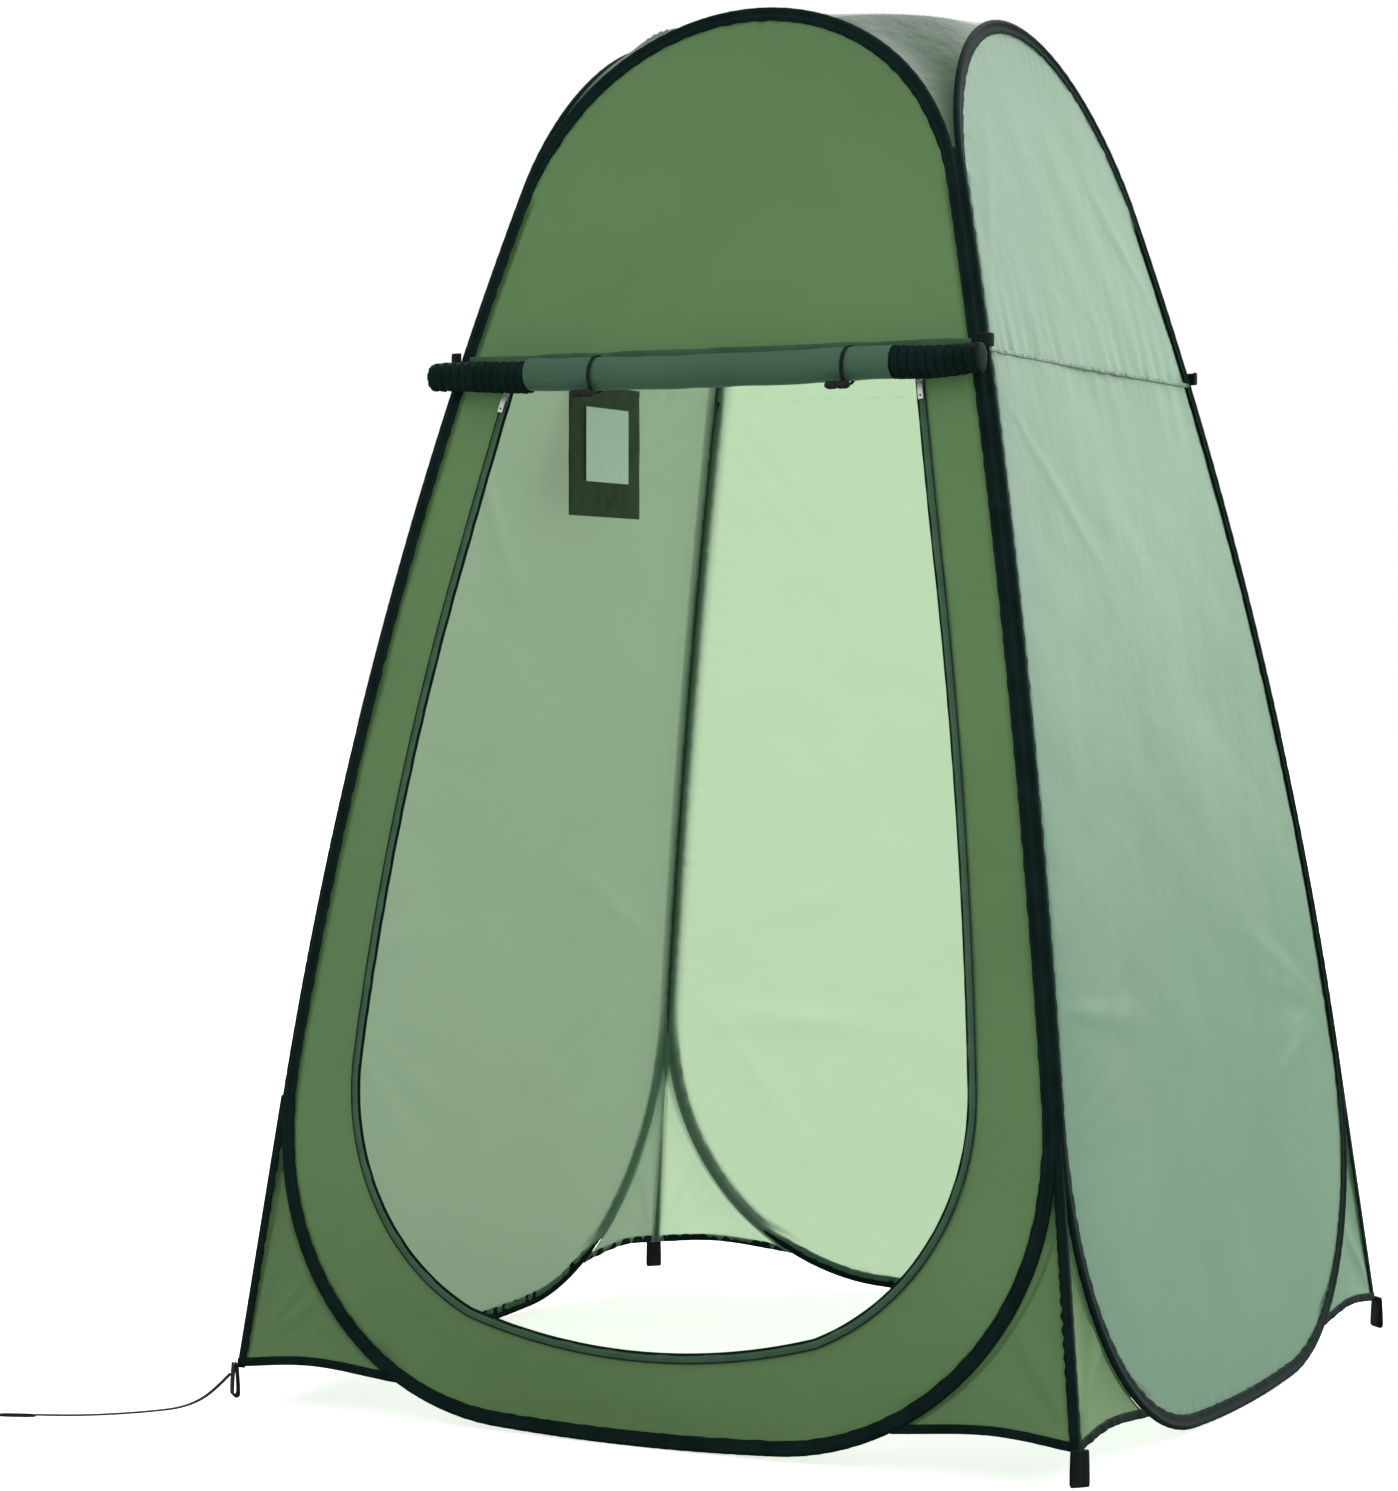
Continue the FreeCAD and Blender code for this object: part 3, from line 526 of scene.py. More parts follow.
SHELL = cloth("shell_cloth", (0.130, 0.250, 0.097), (0.152, 0.286, 0.116), (0.16, 0.28, 0.12),
              0.30, crinkle=0.0007)
# The side and back walls' cloth is the shell's green cloth painted paler and bluer: a painted
# sheen and back light of the lit walls.
WALL_PAINTED_SHEEN = cloth("wall_cloth", (0.146, 0.304, 0.222), (0.165, 0.332, 0.242), (0.47, 0.63, 0.41), 0.48,
             roughness=0.45, sheen=0.12, crinkle=0.0004)
ROLL = cloth("roll_cloth", (0.034, 0.105, 0.058), (0.050, 0.135, 0.078), (0.1, 0.2, 0.1), 0.04,
             roughness=0.6, sheen=0.08)
POCKET = cloth("pocket_cloth", (0.018, 0.046, 0.018), (0.029, 0.064, 0.026), (0.08, 0.16, 0.07),
               0.30)
ROOF = cloth("roof_cloth", (0.110, 0.205, 0.110), (0.130, 0.232, 0.125), (0.18, 0.32, 0.16), 0.32)
ROOF_DARK = cloth("roof_corner_cloth", (0.038, 0.082, 0.042), (0.050, 0.100, 0.052),
                  (0.08, 0.16, 0.08), 0.25)
TAPE = woven("binding_tape", (0.0025, 0.0110, 0.0095), (0.0045, 0.0165, 0.0145), 0.0016, 0.0002,
             roughness=0.75, sheen=0.0, stitch=-0.0085)
ZIP_TAPE = woven("zip_tape", (0.045, 0.105, 0.058), (0.060, 0.130, 0.074), 0.0012, 0.0001,
                 roughness=0.7, sheen=0.05, stitch=0.0030)
COIL = moulded("zip_coil", (0.004, 0.006, 0.006), (0.010, 0.014, 0.013), 0.45)
WEBBING = woven("webbing", (0.006, 0.010, 0.010), (0.012, 0.017, 0.016), 0.0022, 0.0005,
                roughness=0.7, stitch=0.0)
SEAM_TAPE = cloth("seam_cloth", (0.19, 0.32, 0.23), (0.22, 0.36, 0.26), (0.46, 0.58, 0.40), 0.45)
CORD = woven("cord", (0.008, 0.012, 0.011), (0.018, 0.024, 0.022), 0.0018, 0.0004)
METAL = moulded("zip_metal", (0.70, 0.71, 0.72), (0.80, 0.81, 0.82), 0.32, metallic=0.7)
STEEL = moulded("spring_wire", (0.30, 0.30, 0.30), (0.40, 0.40, 0.41), 0.35, metallic=1.0)
PLASTIC = moulded("toggle_plastic", (0.004, 0.005, 0.005), (0.008, 0.009, 0.009), 0.5)
CARD = moulded("card", (0.78, 0.88, 0.94), (0.84, 0.92, 0.97), 0.55, grain=90.0, depth=0.0002)


# ---------------------------------------------------------------- camera, light and floor
def towards(azimuth, elevation):
    """A direction from the tent, turned from the doorway's side to its right, in degrees."""
    a, e = math.radians(azimuth), math.radians(elevation)
    return Vector((math.sin(a) * math.cos(e), -math.cos(a) * math.cos(e), math.sin(e)))


def make_camera():
    roll = math.radians(0.06)
    camera = added("camera", bpy.data.cameras.new("camera"))
    camera.data.lens = 91.19
    camera.location = (2.2751, -4.8988, 1.0251)
    turn = (-towards(26.98, 1.43)).to_track_quat("-Z", "Y").to_matrix()
    camera.rotation_euler = (turn @ Matrix.Rotation(roll, 3, "Z")).to_euler()
    camera.data.clip_start, camera.data.clip_end = 0.1, 60
    bpy.context.scene.camera = camera


AMBIENT = 0.78            # the white surroundings' light; they are seen at full white


def make_light():
    world = bpy.data.worlds.new("studio")
    world.use_nodes = True
    tree = world.node_tree
    ambient = tree.nodes["Background"]
    ambient.inputs[0].default_value = (1.0, 1.0, 1.0, 1)
    ambient.inputs[1].default_value = AMBIENT
    seen = node(tree, "ShaderNodeBackground", Color=(1.0, 1.0, 1.0, 1), Strength=1.0)
    seen_apart(tree, ambient, seen, tree.nodes["World Output"])
    bpy.context.scene.world = world
    bpy.context.scene.view_settings.view_transform = "Standard"
    for name, azimuth, elevation, strength, softness in (("key", 172, 38, 4.8, 70),
                                                         ("fill", 40, 30, 0.45, 120)):
        lamp = added(name, bpy.data.lights.new(name, "SUN"))
        lamp.rotation_euler = towards(azimuth, elevation).to_track_quat("Z", "Y").to_euler()
        lamp.data.energy = strength
        lamp.data.angle = math.radians(softness)


def make_floor():
    """Pale ground: it is seen at full white and lights the tent less."""
    size = 40.0
    corners = [(-size, -size, 0), (size, -size, 0), (size, size, 0), (-size, size, 0)]
    material, tree, output = shader("pale_floor")
    face = node(tree, "ShaderNodeBsdfPrincipled", Roughness=0.9)
    face.inputs["Base Color"].default_value = (0.80, 0.80, 0.80, 1)
    face.inputs["Emission Color"].default_value = (1, 1, 1, 1)
    face.inputs["Emission Strength"].default_value = 0.62
    matte = node(tree, "ShaderNodeBsdfDiffuse", Color=(0.42, 0.42, 0.42, 1))
    seen_apart(tree, matte, face, output)
    piece("floor", corners, [(0, 1, 2, 3)], material)


# ---------------------------------------------------------------- the loose strap
STRAP_POINTS = [(-0.619, -0.620, 0.040), (-0.627, -0.640, 0.024), (-0.637, -0.665, 0.010),
                (-0.650, -0.695, 0.0036), (-0.668, -0.727, 0.0036), (-0.694, -0.759, 0.0036),
                (-0.726, -0.788, 0.0036), (-0.762, -0.809, 0.0036), (-0.795, -0.822, 0.0036)]
STRAP_LOOP_LENGTH, STRAP_LOOP_WIDTH = 0.050, 0.0105


def make_strap():
    """The flat strap at the front left corner, and the slim sewn loop on its end."""
    curve = bpy.data.curves.new("corner_strap", "CURVE")
    curve.dimensions = "3D"
    line = curve.splines.new("NURBS")
    line.points.add(len(STRAP_POINTS) - 1)
    for point, place in zip(line.points, STRAP_POINTS):
        point.co = (*place, 1)
        point.tilt = math.pi / 2
    line.order_u = 3
    line.use_endpoint_u = True
    line.resolution_u = 12
    curve.extrude, curve.bevel_depth, curve.bevel_resolution = 0.0026, 0.0009, 2
    strap = added("corner_strap", curve)
    curve.materials.append(CORD)
    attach(strap, "front")
    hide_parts("guy_strap")
    tip, before = np.array(STRAP_POINTS[-1]), np.array(STRAP_POINTS[-2])
    heading = unit((tip - before) * [1, 1, 0])
    side = np.cross([0, 0, 1], heading)
    length, width = STRAP_LOOP_LENGTH, STRAP_LOOP_WIDTH
    turn = np.linspace(0, 2 * math.pi, 49)[:-1]
    run = np.sign(np.cos(turn)) * np.abs(np.cos(turn)) ** 0.55
    ring = (tip * [1, 1, 0] + [0, 0, 0.0026] + heading * (length / 2 + run[:, None] * length / 2)
            + side * np.sin(turn)[:, None] * width / 2)
    face, out = framed(ring, (0, 0, 1), True)
    end = strip("strap_loop_end", ring, out, face, tape_profile(0.0032, 0.0016), CORD, "front",
                "strap_end_loop", True)


# ---------------------------------------------------------------- hoops in their binding
def make_sleeve(wall):
    """The folded binding tape: a round channel for the wire, and a flat edge sewn to the wall."""
    half = hoop_half(OPEN_INSET if wall == "back" else 0.0)
    path = np.concatenate([half, (half * [-1, 1, 1])[-2:0:-1]])
    along = tangents(path, True)
    normal = wall_normal(path[:, 2])
    out = unit(np.cross(along, normal))
    normal = np.cross(out, along)
    s = np.arange(len(path)) * HOOP_STEP
    sewn = ((path[:, 2] > KNEE_Z - 0.02) & (path[:, 2] < CROWN_Z + 0.02)).astype(float)
    sewn = np.convolve(np.concatenate([sewn[-12:], sewn, sewn[:12]]), hann(25), "valid")
    reach = FLANGE_FREE + (FLANGE_SEAM - FLANGE_FREE) * sewn + 0.0004 * ripple(s, 0.03)
    bulk = TUBE * (1 + 0.035 * ripple(s, 0.016))
    wave = 0.0005 * ripple(s, 0.022)
    thick = 0.0011
    rows = []
    for k in range(len(path)):
        r, flange = bulk[k], reach[k]
        start = math.pi - math.asin(2 * thick / r)
        tube = [(r * math.cos(a), r * math.sin(a)) for a in np.linspace(start, -math.pi, 12)]
        rows.append([(-flange, 0.0012 + wave[k]), (-flange + 0.0004, thick * 2 + wave[k]),
                     (-(flange + r) / 2, thick * 2 + wave[k] / 2)] + tube
                    + [(-(flange + r) / 2, 0.0004), (-flange + 0.0004, 0.0004 + wave[k])])
    strip("hoop_binding_" + wall, path, out, normal, np.array(rows), TAPE, wall,
          "hoop_sleeve_" + wall, True, lambda points: turned(points, wall))


def at_seam(z):
    """1 where a hoop runs along the corner seam, 0 where it is free, and smooth between."""
    return smooth((z - KNEE_Z - 0.005) / 0.035) * smooth((CROWN_Z - 0.005 - z) / 0.035)


def covered(z):
    """1 where another cloth is sewn on beyond the hoop, so that cloth hides it from inside."""
    return smooth((z - 0.060) / 0.035) * smooth((CROWN_Z - 0.005 - z) / 0.035)


TUCK = 0.0058             # how far the cloth passes inside the sleeve there
PUCKER_DEPTH, PUCKER_PITCH = 0.0011, 0.016
NEAREST_BATCH = 4000      # points whose nearest place on the hoop is found in one go


def hoop_outwards(half):
    """The directions out of a hoop, in its wall's surface."""
    return unit(np.cross(tangents(half), wall_normal(half[:, 2])))


class Outline:
    """A wall's edge: inside its hoop's wire, or at the corner seam, where it passes within."""

    def __init__(self, inset=0.0):
        half = hoop_half(inset)
        edge = half + hoop_outwards(half) * (0.0075 * covered(half[:, 2:]) - 0.003)
        edge[0, 0] = edge[-1, 0] = 0.0
        self.x, self.z = edge[:, 0], edge[:, 2]
        self.x = self.x + at_seam(self.z) * (half_width(self.z) - inset - 0.001 - self.x)
        self.s = np.arange(len(half)) * HOOP_STEP

    def rows(self, low, high):
        """Heights and half widths of a panel's rows, closer together beside the shoulder."""
        z = self.z[(self.z > low + 0.002) & (self.z < high - 0.002)]
        low, high = max(low, self.z[0]), min(high, self.z[-1])
        beside = SHOULDER_Z + np.outer([-1, 1], [0.004, 0.009, 0.016, 0.026])
        z = np.unique(np.concatenate([[low, high], z, beside], axis=None))
        z = z[(z >= low) & (z <= high)]
        return z, np.interp(z, self.z, self.x)

    def puckers(self, x, z):
        """Gathers of the cloth along the hoop, which fade within a few centimetres."""
        side = np.sign(x) + (x == 0)
        ex, ez = self.x[::2], self.z[::2]
        shape = x.shape
        px, pz = np.abs(x).ravel(), z.ravel()
        gap = np.empty(len(px))
        near = np.empty(len(px), int)
        for k in range(0, len(px), NEAREST_BATCH):
            batch = slice(k, k + NEAREST_BATCH)
            d = (px[batch, None] - ex) ** 2 + (pz[batch, None] - ez) ** 2
            near[batch] = d.argmin(1)
            gap[batch] = np.sqrt(d.min(1))
        s = self.s[::2][near].reshape(shape) * side
        gap = gap.reshape(shape)
        tuck = TUCK * covered(z) * smooth((0.0225 - gap) / 0.008)
        gathers = PUCKER_DEPTH * ripple(s, PUCKER_PITCH) * np.exp(-gap / 0.020)
        return gathers * smooth(gap / 0.012) - tuck, gap


def make_corner_seam(corner):
    """The joint of two walls: a tape between the sleeves outside, and the seam's ridge inside."""
    z = np.linspace(KNEE_Z - 0.03, CROWN_Z + 0.02, 260)
    half = half_width(z)
    out = unit(np.array([1.0, -1.0, 0.0]))
    open_pivot = corner == OPEN_CORNER
    wide, aside = (0.026, 0.008) if open_pivot else (0.0125, 0.0)
    for name, material, stand, width, thick, shift in (
            ("seam_tape_", TAPE, 0.0012, wide, 0.0022, aside),
            ("seam_ridge_", ZIP_TAPE, -0.0034, 0.0042, 0.0040, 0.0)):
        stand = stand + 0.0003 * ripple(z, 0.03)
        path = np.stack([half, -half, z], -1) + out * stand[:, None]
        path = path + np.array([0.7, 0.7, 0]) * shift
        along = tangents(path)
        side = unit(np.cross(along, out))
        obj = strip(name + corner, path, side, np.cross(side, along), tape_profile(width, thick),
                    material, MEETING[corner][0] if open_pivot else None,
                    carry=lambda points: spin(points, corner))
        if not open_pivot:
            bend_at(obj)


def columns(count, power=1.6):
    """Places from -1 to 1 that crowd towards both edges."""
    v = np.linspace(-1, 1, count)
    return np.sign(v) * (1 - (1 - np.abs(v)) ** power)


WALL_SAG = 0.003
KNEE_CREASES, SHOULDER_CREASES = 5, 3     # on each side of a wall


def wall_relief(outline, x, z, half):
    """How far a wall's cloth stands off its flat surface, outwards positive."""
    pucker, gap = outline.puckers(x, z)
    fade = 1 - np.exp(-gap / 0.05)
    share = np.clip(np.abs(x) / np.maximum(half, 1e-6), 0, 1)
    relief = -WALL_SAG * (1 - share ** 2) * fade + pucker
    relief = relief + 0.0011 * swell(x, z, 0.42) * fade + 0.0004 * swell(x, z, 0.13) * fade
    for side in (-1, 1):
        for _ in range(KNEE_CREASES):
            start = (side * rng.uniform(0.93, 1.0) * 0.53, rng.uniform(0.40, 0.62))
            aim = (side * rng.uniform(0.02, 0.30), rng.uniform(0.16, 0.75))
            height = rng.uniform(0.5, 1.3) * 0.0018
            relief = relief + height * crease(x, z, start, aim, 0.020) * fade
        for _ in range(SHOULDER_CREASES):
            start = (side * 0.375, SHOULDER_Z + rng.uniform(-0.05, 0.05))
            aim_x = side * rng.uniform(0.02, 0.2)
            aim = (aim_x, SHOULDER_Z + rng.choice([-1, 1]) * rng.uniform(0.15, 0.40))
            relief = relief + 0.0013 * crease(x, z, start, aim, 0.016) * fade
    return relief


def seam_gathers(x, z):
    """Fine upright gathers above and below the shoulder seam."""
    away = np.abs(z - SHOULDER_Z)
    return (0.0011 * ripple(x, 0.017) * np.exp(-away / 0.018)
            + 0.0006 * ripple(x, 0.05) * np.exp(-away / 0.06))


def panel(name, wall, low, high, material, node_name, outline):
    """One cloth panel of a wall between two heights."""
    z, half = outline.rows(low, high)
    x = half[:, None] * columns(97)
    zz = np.broadcast_to(z[:, None], x.shape)
    hh = np.broadcast_to(half[:, None], x.shape)
    lift = wall_relief(outline, x, zz, hh) + seam_gathers(x, zz)
    points = turned(on_wall(x, zz, lift), wall)
    made = piece(name, points, grid_faces(*x.shape), material, wall, zz, x, node_name)


def shoulder_seam(wall, outline):
    """The lapped seam across a plain wall where its two panels are sewn."""
    half = float(np.interp(SHOULDER_Z, outline.z, outline.x)) - 0.004
    x = np.linspace(-half, half, 260)
    z = SHOULDER_Z + 0.0006 * ripple(x, 0.05)
    lift = -WALL_SAG * (1 - (x / half) ** 2) + 0.0016 + 0.0007 * ripple(x, 0.016)
    path = on_wall(x, z, lift)
    normal = wall_normal(z)
    up = np.cross(tangents(path), normal)
    strip("shoulder_seam_" + wall, path, up, normal, tape_profile(0.0065, 0.0022), SEAM_TAPE, wall,
          carry=lambda points: turned(points, wall))


# ---------------------------------------------------------------- the doorway
def door_line(grow=0.0):
    """The doorway's edge from its top left corner round the sill to its top right corner."""
    top, straight, mid = (0.298, 1.395), (0.345, 1.165), (0.418, 0.741)
    wide, turn, low, sill = (0.445, 0.480), (0.384, 0.262), (0.250, 0.155), (0.0, 0.119)

    def through(a, b, c, count=80):
        """The arc through three flat points."""
        (ax, az), (bx, bz), (cx, cz) = a, b, c
        d = 2 * (ax * (bz - cz) + bx * (cz - az) + cx * (az - bz))
        sa, sb, sc = ax ** 2 + az ** 2, bx ** 2 + bz ** 2, cx ** 2 + cz ** 2
        centre = np.array([(sa * (bz - cz) + sb * (cz - az) + sc * (az - bz)) / d,
                           (sa * (cx - bx) + sb * (ax - cx) + sc * (bx - ax)) / d])
        first = arc_points(centre, np.array(a), np.array(b), count)
        return np.concatenate([first, arc_points(centre, np.array(b), np.array(c), count)[1:]])
    right = np.concatenate([np.array([top]), through(straight, mid, wide),
                            through(wide, turn, low)[1:],
                            through(low, sill, (-low[0], low[1]))[1:80]])
    right = evenly(right, 0.004)
    line = np.concatenate([right * [-1, 1], right[::-1][1:]])
    out = tangents(line) @ np.array([[0, -1], [1, 0]])
    padded = np.pad(out, ((7, 7), (0, 0)), mode="edge")
    out = unit(np.stack([np.convolve(padded[:, k], hann(15), "valid") for k in range(2)], -1))
    return line + out * grow, out


def make_surround(outline):
    """The front wall's lower cloth round the doorway, and the strip above it."""
    line, _ = door_line()
    keep = outline.z < SHOULDER_Z
    side = np.stack([np.append(outline.x[keep], np.interp(SHOULDER_Z, outline.z, outline.x)),
                     np.append(outline.z[keep], SHOULDER_Z)], -1)
    outer = np.concatenate([side[::-1] * [-1, 1], side[1:]])
    t = np.linspace(0, 1, len(line))
    inner, outer = at_shares(line, t), at_shares(outer, t)
    v = (columns(21) + 1) / 2
    ring = inner[:, None] * (1 - v[:, None]) + outer[:, None] * v[:, None]
    x, z = ring[..., 0], ring[..., 1]
    relief = outline.puckers(x, z)[0] + 0.0009 * swell(x, z, 0.20) + 0.0005 * swell(x, z, 0.07)
    lift = relief * (0.25 + 0.75 * np.sin(math.pi * v) ** 0.5)
    first = (on_wall(x, z, lift), grid_faces(*x.shape), z, x)
    u, w = np.linspace(-1, 1, 121), np.linspace(0, 1, 4)[:, None]
    x = u * (line[-1, 0] * (1 - w) + outer[-1, 0] * w)
    z = np.broadcast_to(line[-1, 1] * (1 - w) + SHOULDER_Z * w, x.shape)
    second = (on_wall(x, z, 0.0006 * ripple(x, 0.03)), grid_faces(*x.shape), z, x)
    points, faces, along, across = joined([first, second])
    made = piece("door_surround_cloth", points, faces, SHELL, "front", along, across,
                 "door_surround")


def make_zip():
    """The zip's tape round the doorway with its coil, and the thin edge piping inside it."""
    inner, out = door_line()
    for name, offset, lift, width, thick, material, replaced in (
            ("zip_tape_strip", 0.0062, 0.0024, 0.0120, 0.0012, ZIP_TAPE, "zip_tape"),
            ("doorway_piping", 0.0, 0.0012, 0.0042, 0.0040, TAPE, None)):
        line = inner + out * offset
        s = lengths(line)
        path = on_wall(line[:, 0], line[:, 1], lift + 0.0003 * ripple(s, 0.05))
        normal = wall_normal(line[:, 1])
        side = np.cross(normal, tangents(path))
        strip(name, path, side, normal, tape_profile(width, thick), material, "front",
              replaced)
    line = evenly(inner + out * 0.0105, 0.0011)
    path = on_wall(line[:, 0], line[:, 1], 0.0034)
    normal = wall_normal(line[:, 1])
    side = np.cross(normal, tangents(path))
    tooth = np.where(np.arange(len(path)) % 2 == 0, 1.0, 0.72)
    profile = ring_profile(0.0011, 6)[None] * tooth[:, None, None]
    strip("zip_coil", path, side, normal, profile, COIL, "front")


def make_header():
    """The doubled band across the shoulder that the rolled door hangs from."""
    low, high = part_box("header_band")
    x = np.linspace(low.x, high.x, 300)
    z = SHOULDER_Z + 0.006 + 0.0005 * ripple(x, 0.09)
    path = on_wall(x, z, 0.0026 + 0.0004 * ripple(x, 0.02))
    normal = wall_normal(z)
    strip("header_tape", path, np.cross(tangents(path), normal), normal,
          tape_profile(0.0165, 0.0018), ZIP_TAPE, "front", "header_band")


# ---------------------------------------------------------------- the rolled door
ROLL_TURNS, ROLL_CORE = 15.0, 0.0052
STEPS_A_TURN = 26
LOOP_X = {"toggle_left": -0.157, "toggle_right": 0.216}
TIE_ANGLE = 0.87          # where a toggle's tie leaves the roll, below its front


def roll_place():
    """The ends of the rolled door's box, its radius, and the y and z of its axis."""
    low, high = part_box("door_roll")
    return low, high, (high.z - low.z) / 2, (low.y + high.y) / 2, (low.z + high.z) / 2


def make_roll():
    """The door wound up into a roll: its cloth, and its edge binding wound at both ends."""
    low, high, radius, y, z = roll_place()
    turn = np.linspace(0, 2 * math.pi * ROLL_TURNS, int(ROLL_TURNS * STEPS_A_TURN))
    spiral = ROLL_CORE + (radius - 0.0012 - ROLL_CORE) * turn / turn[-1]
    x = np.linspace(low.x, high.x, 64)
    tt, xx = np.meshgrid(turn, x, indexing="ij")
    skin = (turn / turn[-1])[:, None] ** 6
    rr = spiral[:, None] + 0.0007 * skin * swell(tt * 0.022 + xx * 0.25, xx, 0.07)
    droop = 0.0035 * np.cos(np.pi * (xx - x.mean()) / (x[-1] - x[0])) - 0.0015
    angle = tt - turn[-1] + math.radians(75)
    points = np.stack([xx, y - rr * np.cos(angle), z - droop + rr * np.sin(angle)], -1)
    made = piece("rolled_door_cloth", points, grid_faces(*tt.shape), ROLL, "front",
                 tt * 0.013, xx, "door_roll")
    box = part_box("roll_edge_bindings")
    ends = []
    count, sides, pitch, outer = 150, 48, 0.0128, radius - 0.0015
    for start, stop in ((low.x, box[0].x), (high.x, box[1].x)):
        t = np.linspace(0, 1, count)[:, None]
        phi = (np.arange(sides) * 2 * math.pi / sides)[None]
        x = start + (stop - start) * t
        step = ((np.abs(x - start) / pitch + phi / (2 * math.pi)) % 1.0)
        rib = np.clip(step / 0.22, 0, 1) * (1 - 0.35 * step) * 0.0032
        taper = outer - 0.0034 - 0.0030 * t ** 2 - 0.5 * np.clip(t - 0.985, 0, 1)
        r = taper + rib + 0.0006 * ripple(phi * 0.02 + x, 0.011)
        bend = 0.0015 * np.sin(t * 5 + start * 9) + 0.0020 * t
        points = np.stack([np.broadcast_to(x, r.shape), y - r * np.cos(phi),
                           z + bend + r * np.sin(phi)], -1)
        faces = grid_faces(count, sides, False, True)
        faces.append(tuple((count - 1) * sides + j for j in range(sides)))
        ends.append((points, faces, np.broadcast_to(step * pitch, r.shape), phi * 0.02 + 0 * x))
    points, faces, along, across = joined(ends)
    piece("roll_wound_binding", points, faces, TAPE, "front", along, across,
          "roll_edge_bindings")


def make_roll_loops():
    """The elastic loops round the roll, and the toggles' ties."""
    _, _, radius, y, z = roll_place()
    parts = []
    for toggle, x in LOOP_X.items():
        angle = np.linspace(0, 2 * math.pi, 57)[:-1]
        ring = np.stack([x + 0.0015 * np.sin(angle), y - (radius + 0.0012) * np.cos(angle),
                         z - 0.001 + (radius + 0.0012) * np.sin(angle)], -1)
        side, face = framed(ring, (1, 0, 0), True)
        parts.append(lofted(ring, face, side, tape_profile(0.0052, 0.0018), True))
        middle = sum(np.array(end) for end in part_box(toggle)) / 2
        start = np.array([x, y - radius * math.cos(TIE_ANGLE), z - radius * math.sin(TIE_ANGLE)])
        tie = start + (middle - start) * np.linspace(0, 0.86, 10)[:, None]
        side, face = framed(tie, (1, 0, 0))
        parts.append(lofted(tie, side, face, ring_profile(0.0013, 8)))
    points, faces, along, across = joined(parts)
    piece("roll_loop_cords", points, faces, CORD, "front", along, across, "roll_loops")


# ---------------------------------------------------------------- corners
def across_diagonal(points):
    """From the front wall's right side to the right wall's front side."""
    return np.stack([-points[..., 1], -points[..., 0], points[..., 2]], -1)


def bend_at(obj):
    """Bake a corner's piece's placing into its mesh; the piece is on no wall's body."""
    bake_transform(obj)


def on_half(part, second):
    """A part of a corner's first half, carried across the corner if it's for the second."""
    points, faces, along, across = part
    if second:
        points, faces = across_diagonal(points), flipped(faces)
    return points, faces, along, across


SKIRT_CREASES = 6                                         # on each half


def corner_pieces(name, corner, build, material, node_name):
    """A corner's piece: whole, with its placing baked in, or two halves where the corner is the
    open pivot.
    """
    sides = (("_a", (0,)), ("_b", (1,))) if corner == OPEN_CORNER else (("", (0, 1)),)
    for suffix, halves in sides:
        points, faces, along, across = joined([on_half(build(), half) for half in halves])
        body = MEETING[corner][halves[0]] if suffix else None
        obj = piece(name + "_" + corner + suffix, spin(points, corner), faces, material, body,
                    along, across, node_name)
        if not suffix:
            bend_at(obj)


def skirt_edge(u):
    """The corner skirt's lower edge from the hoop to the corner: it sags up between them."""
    return HEM_Z + 0.010 * np.sin(math.pi * u) ** 1.2


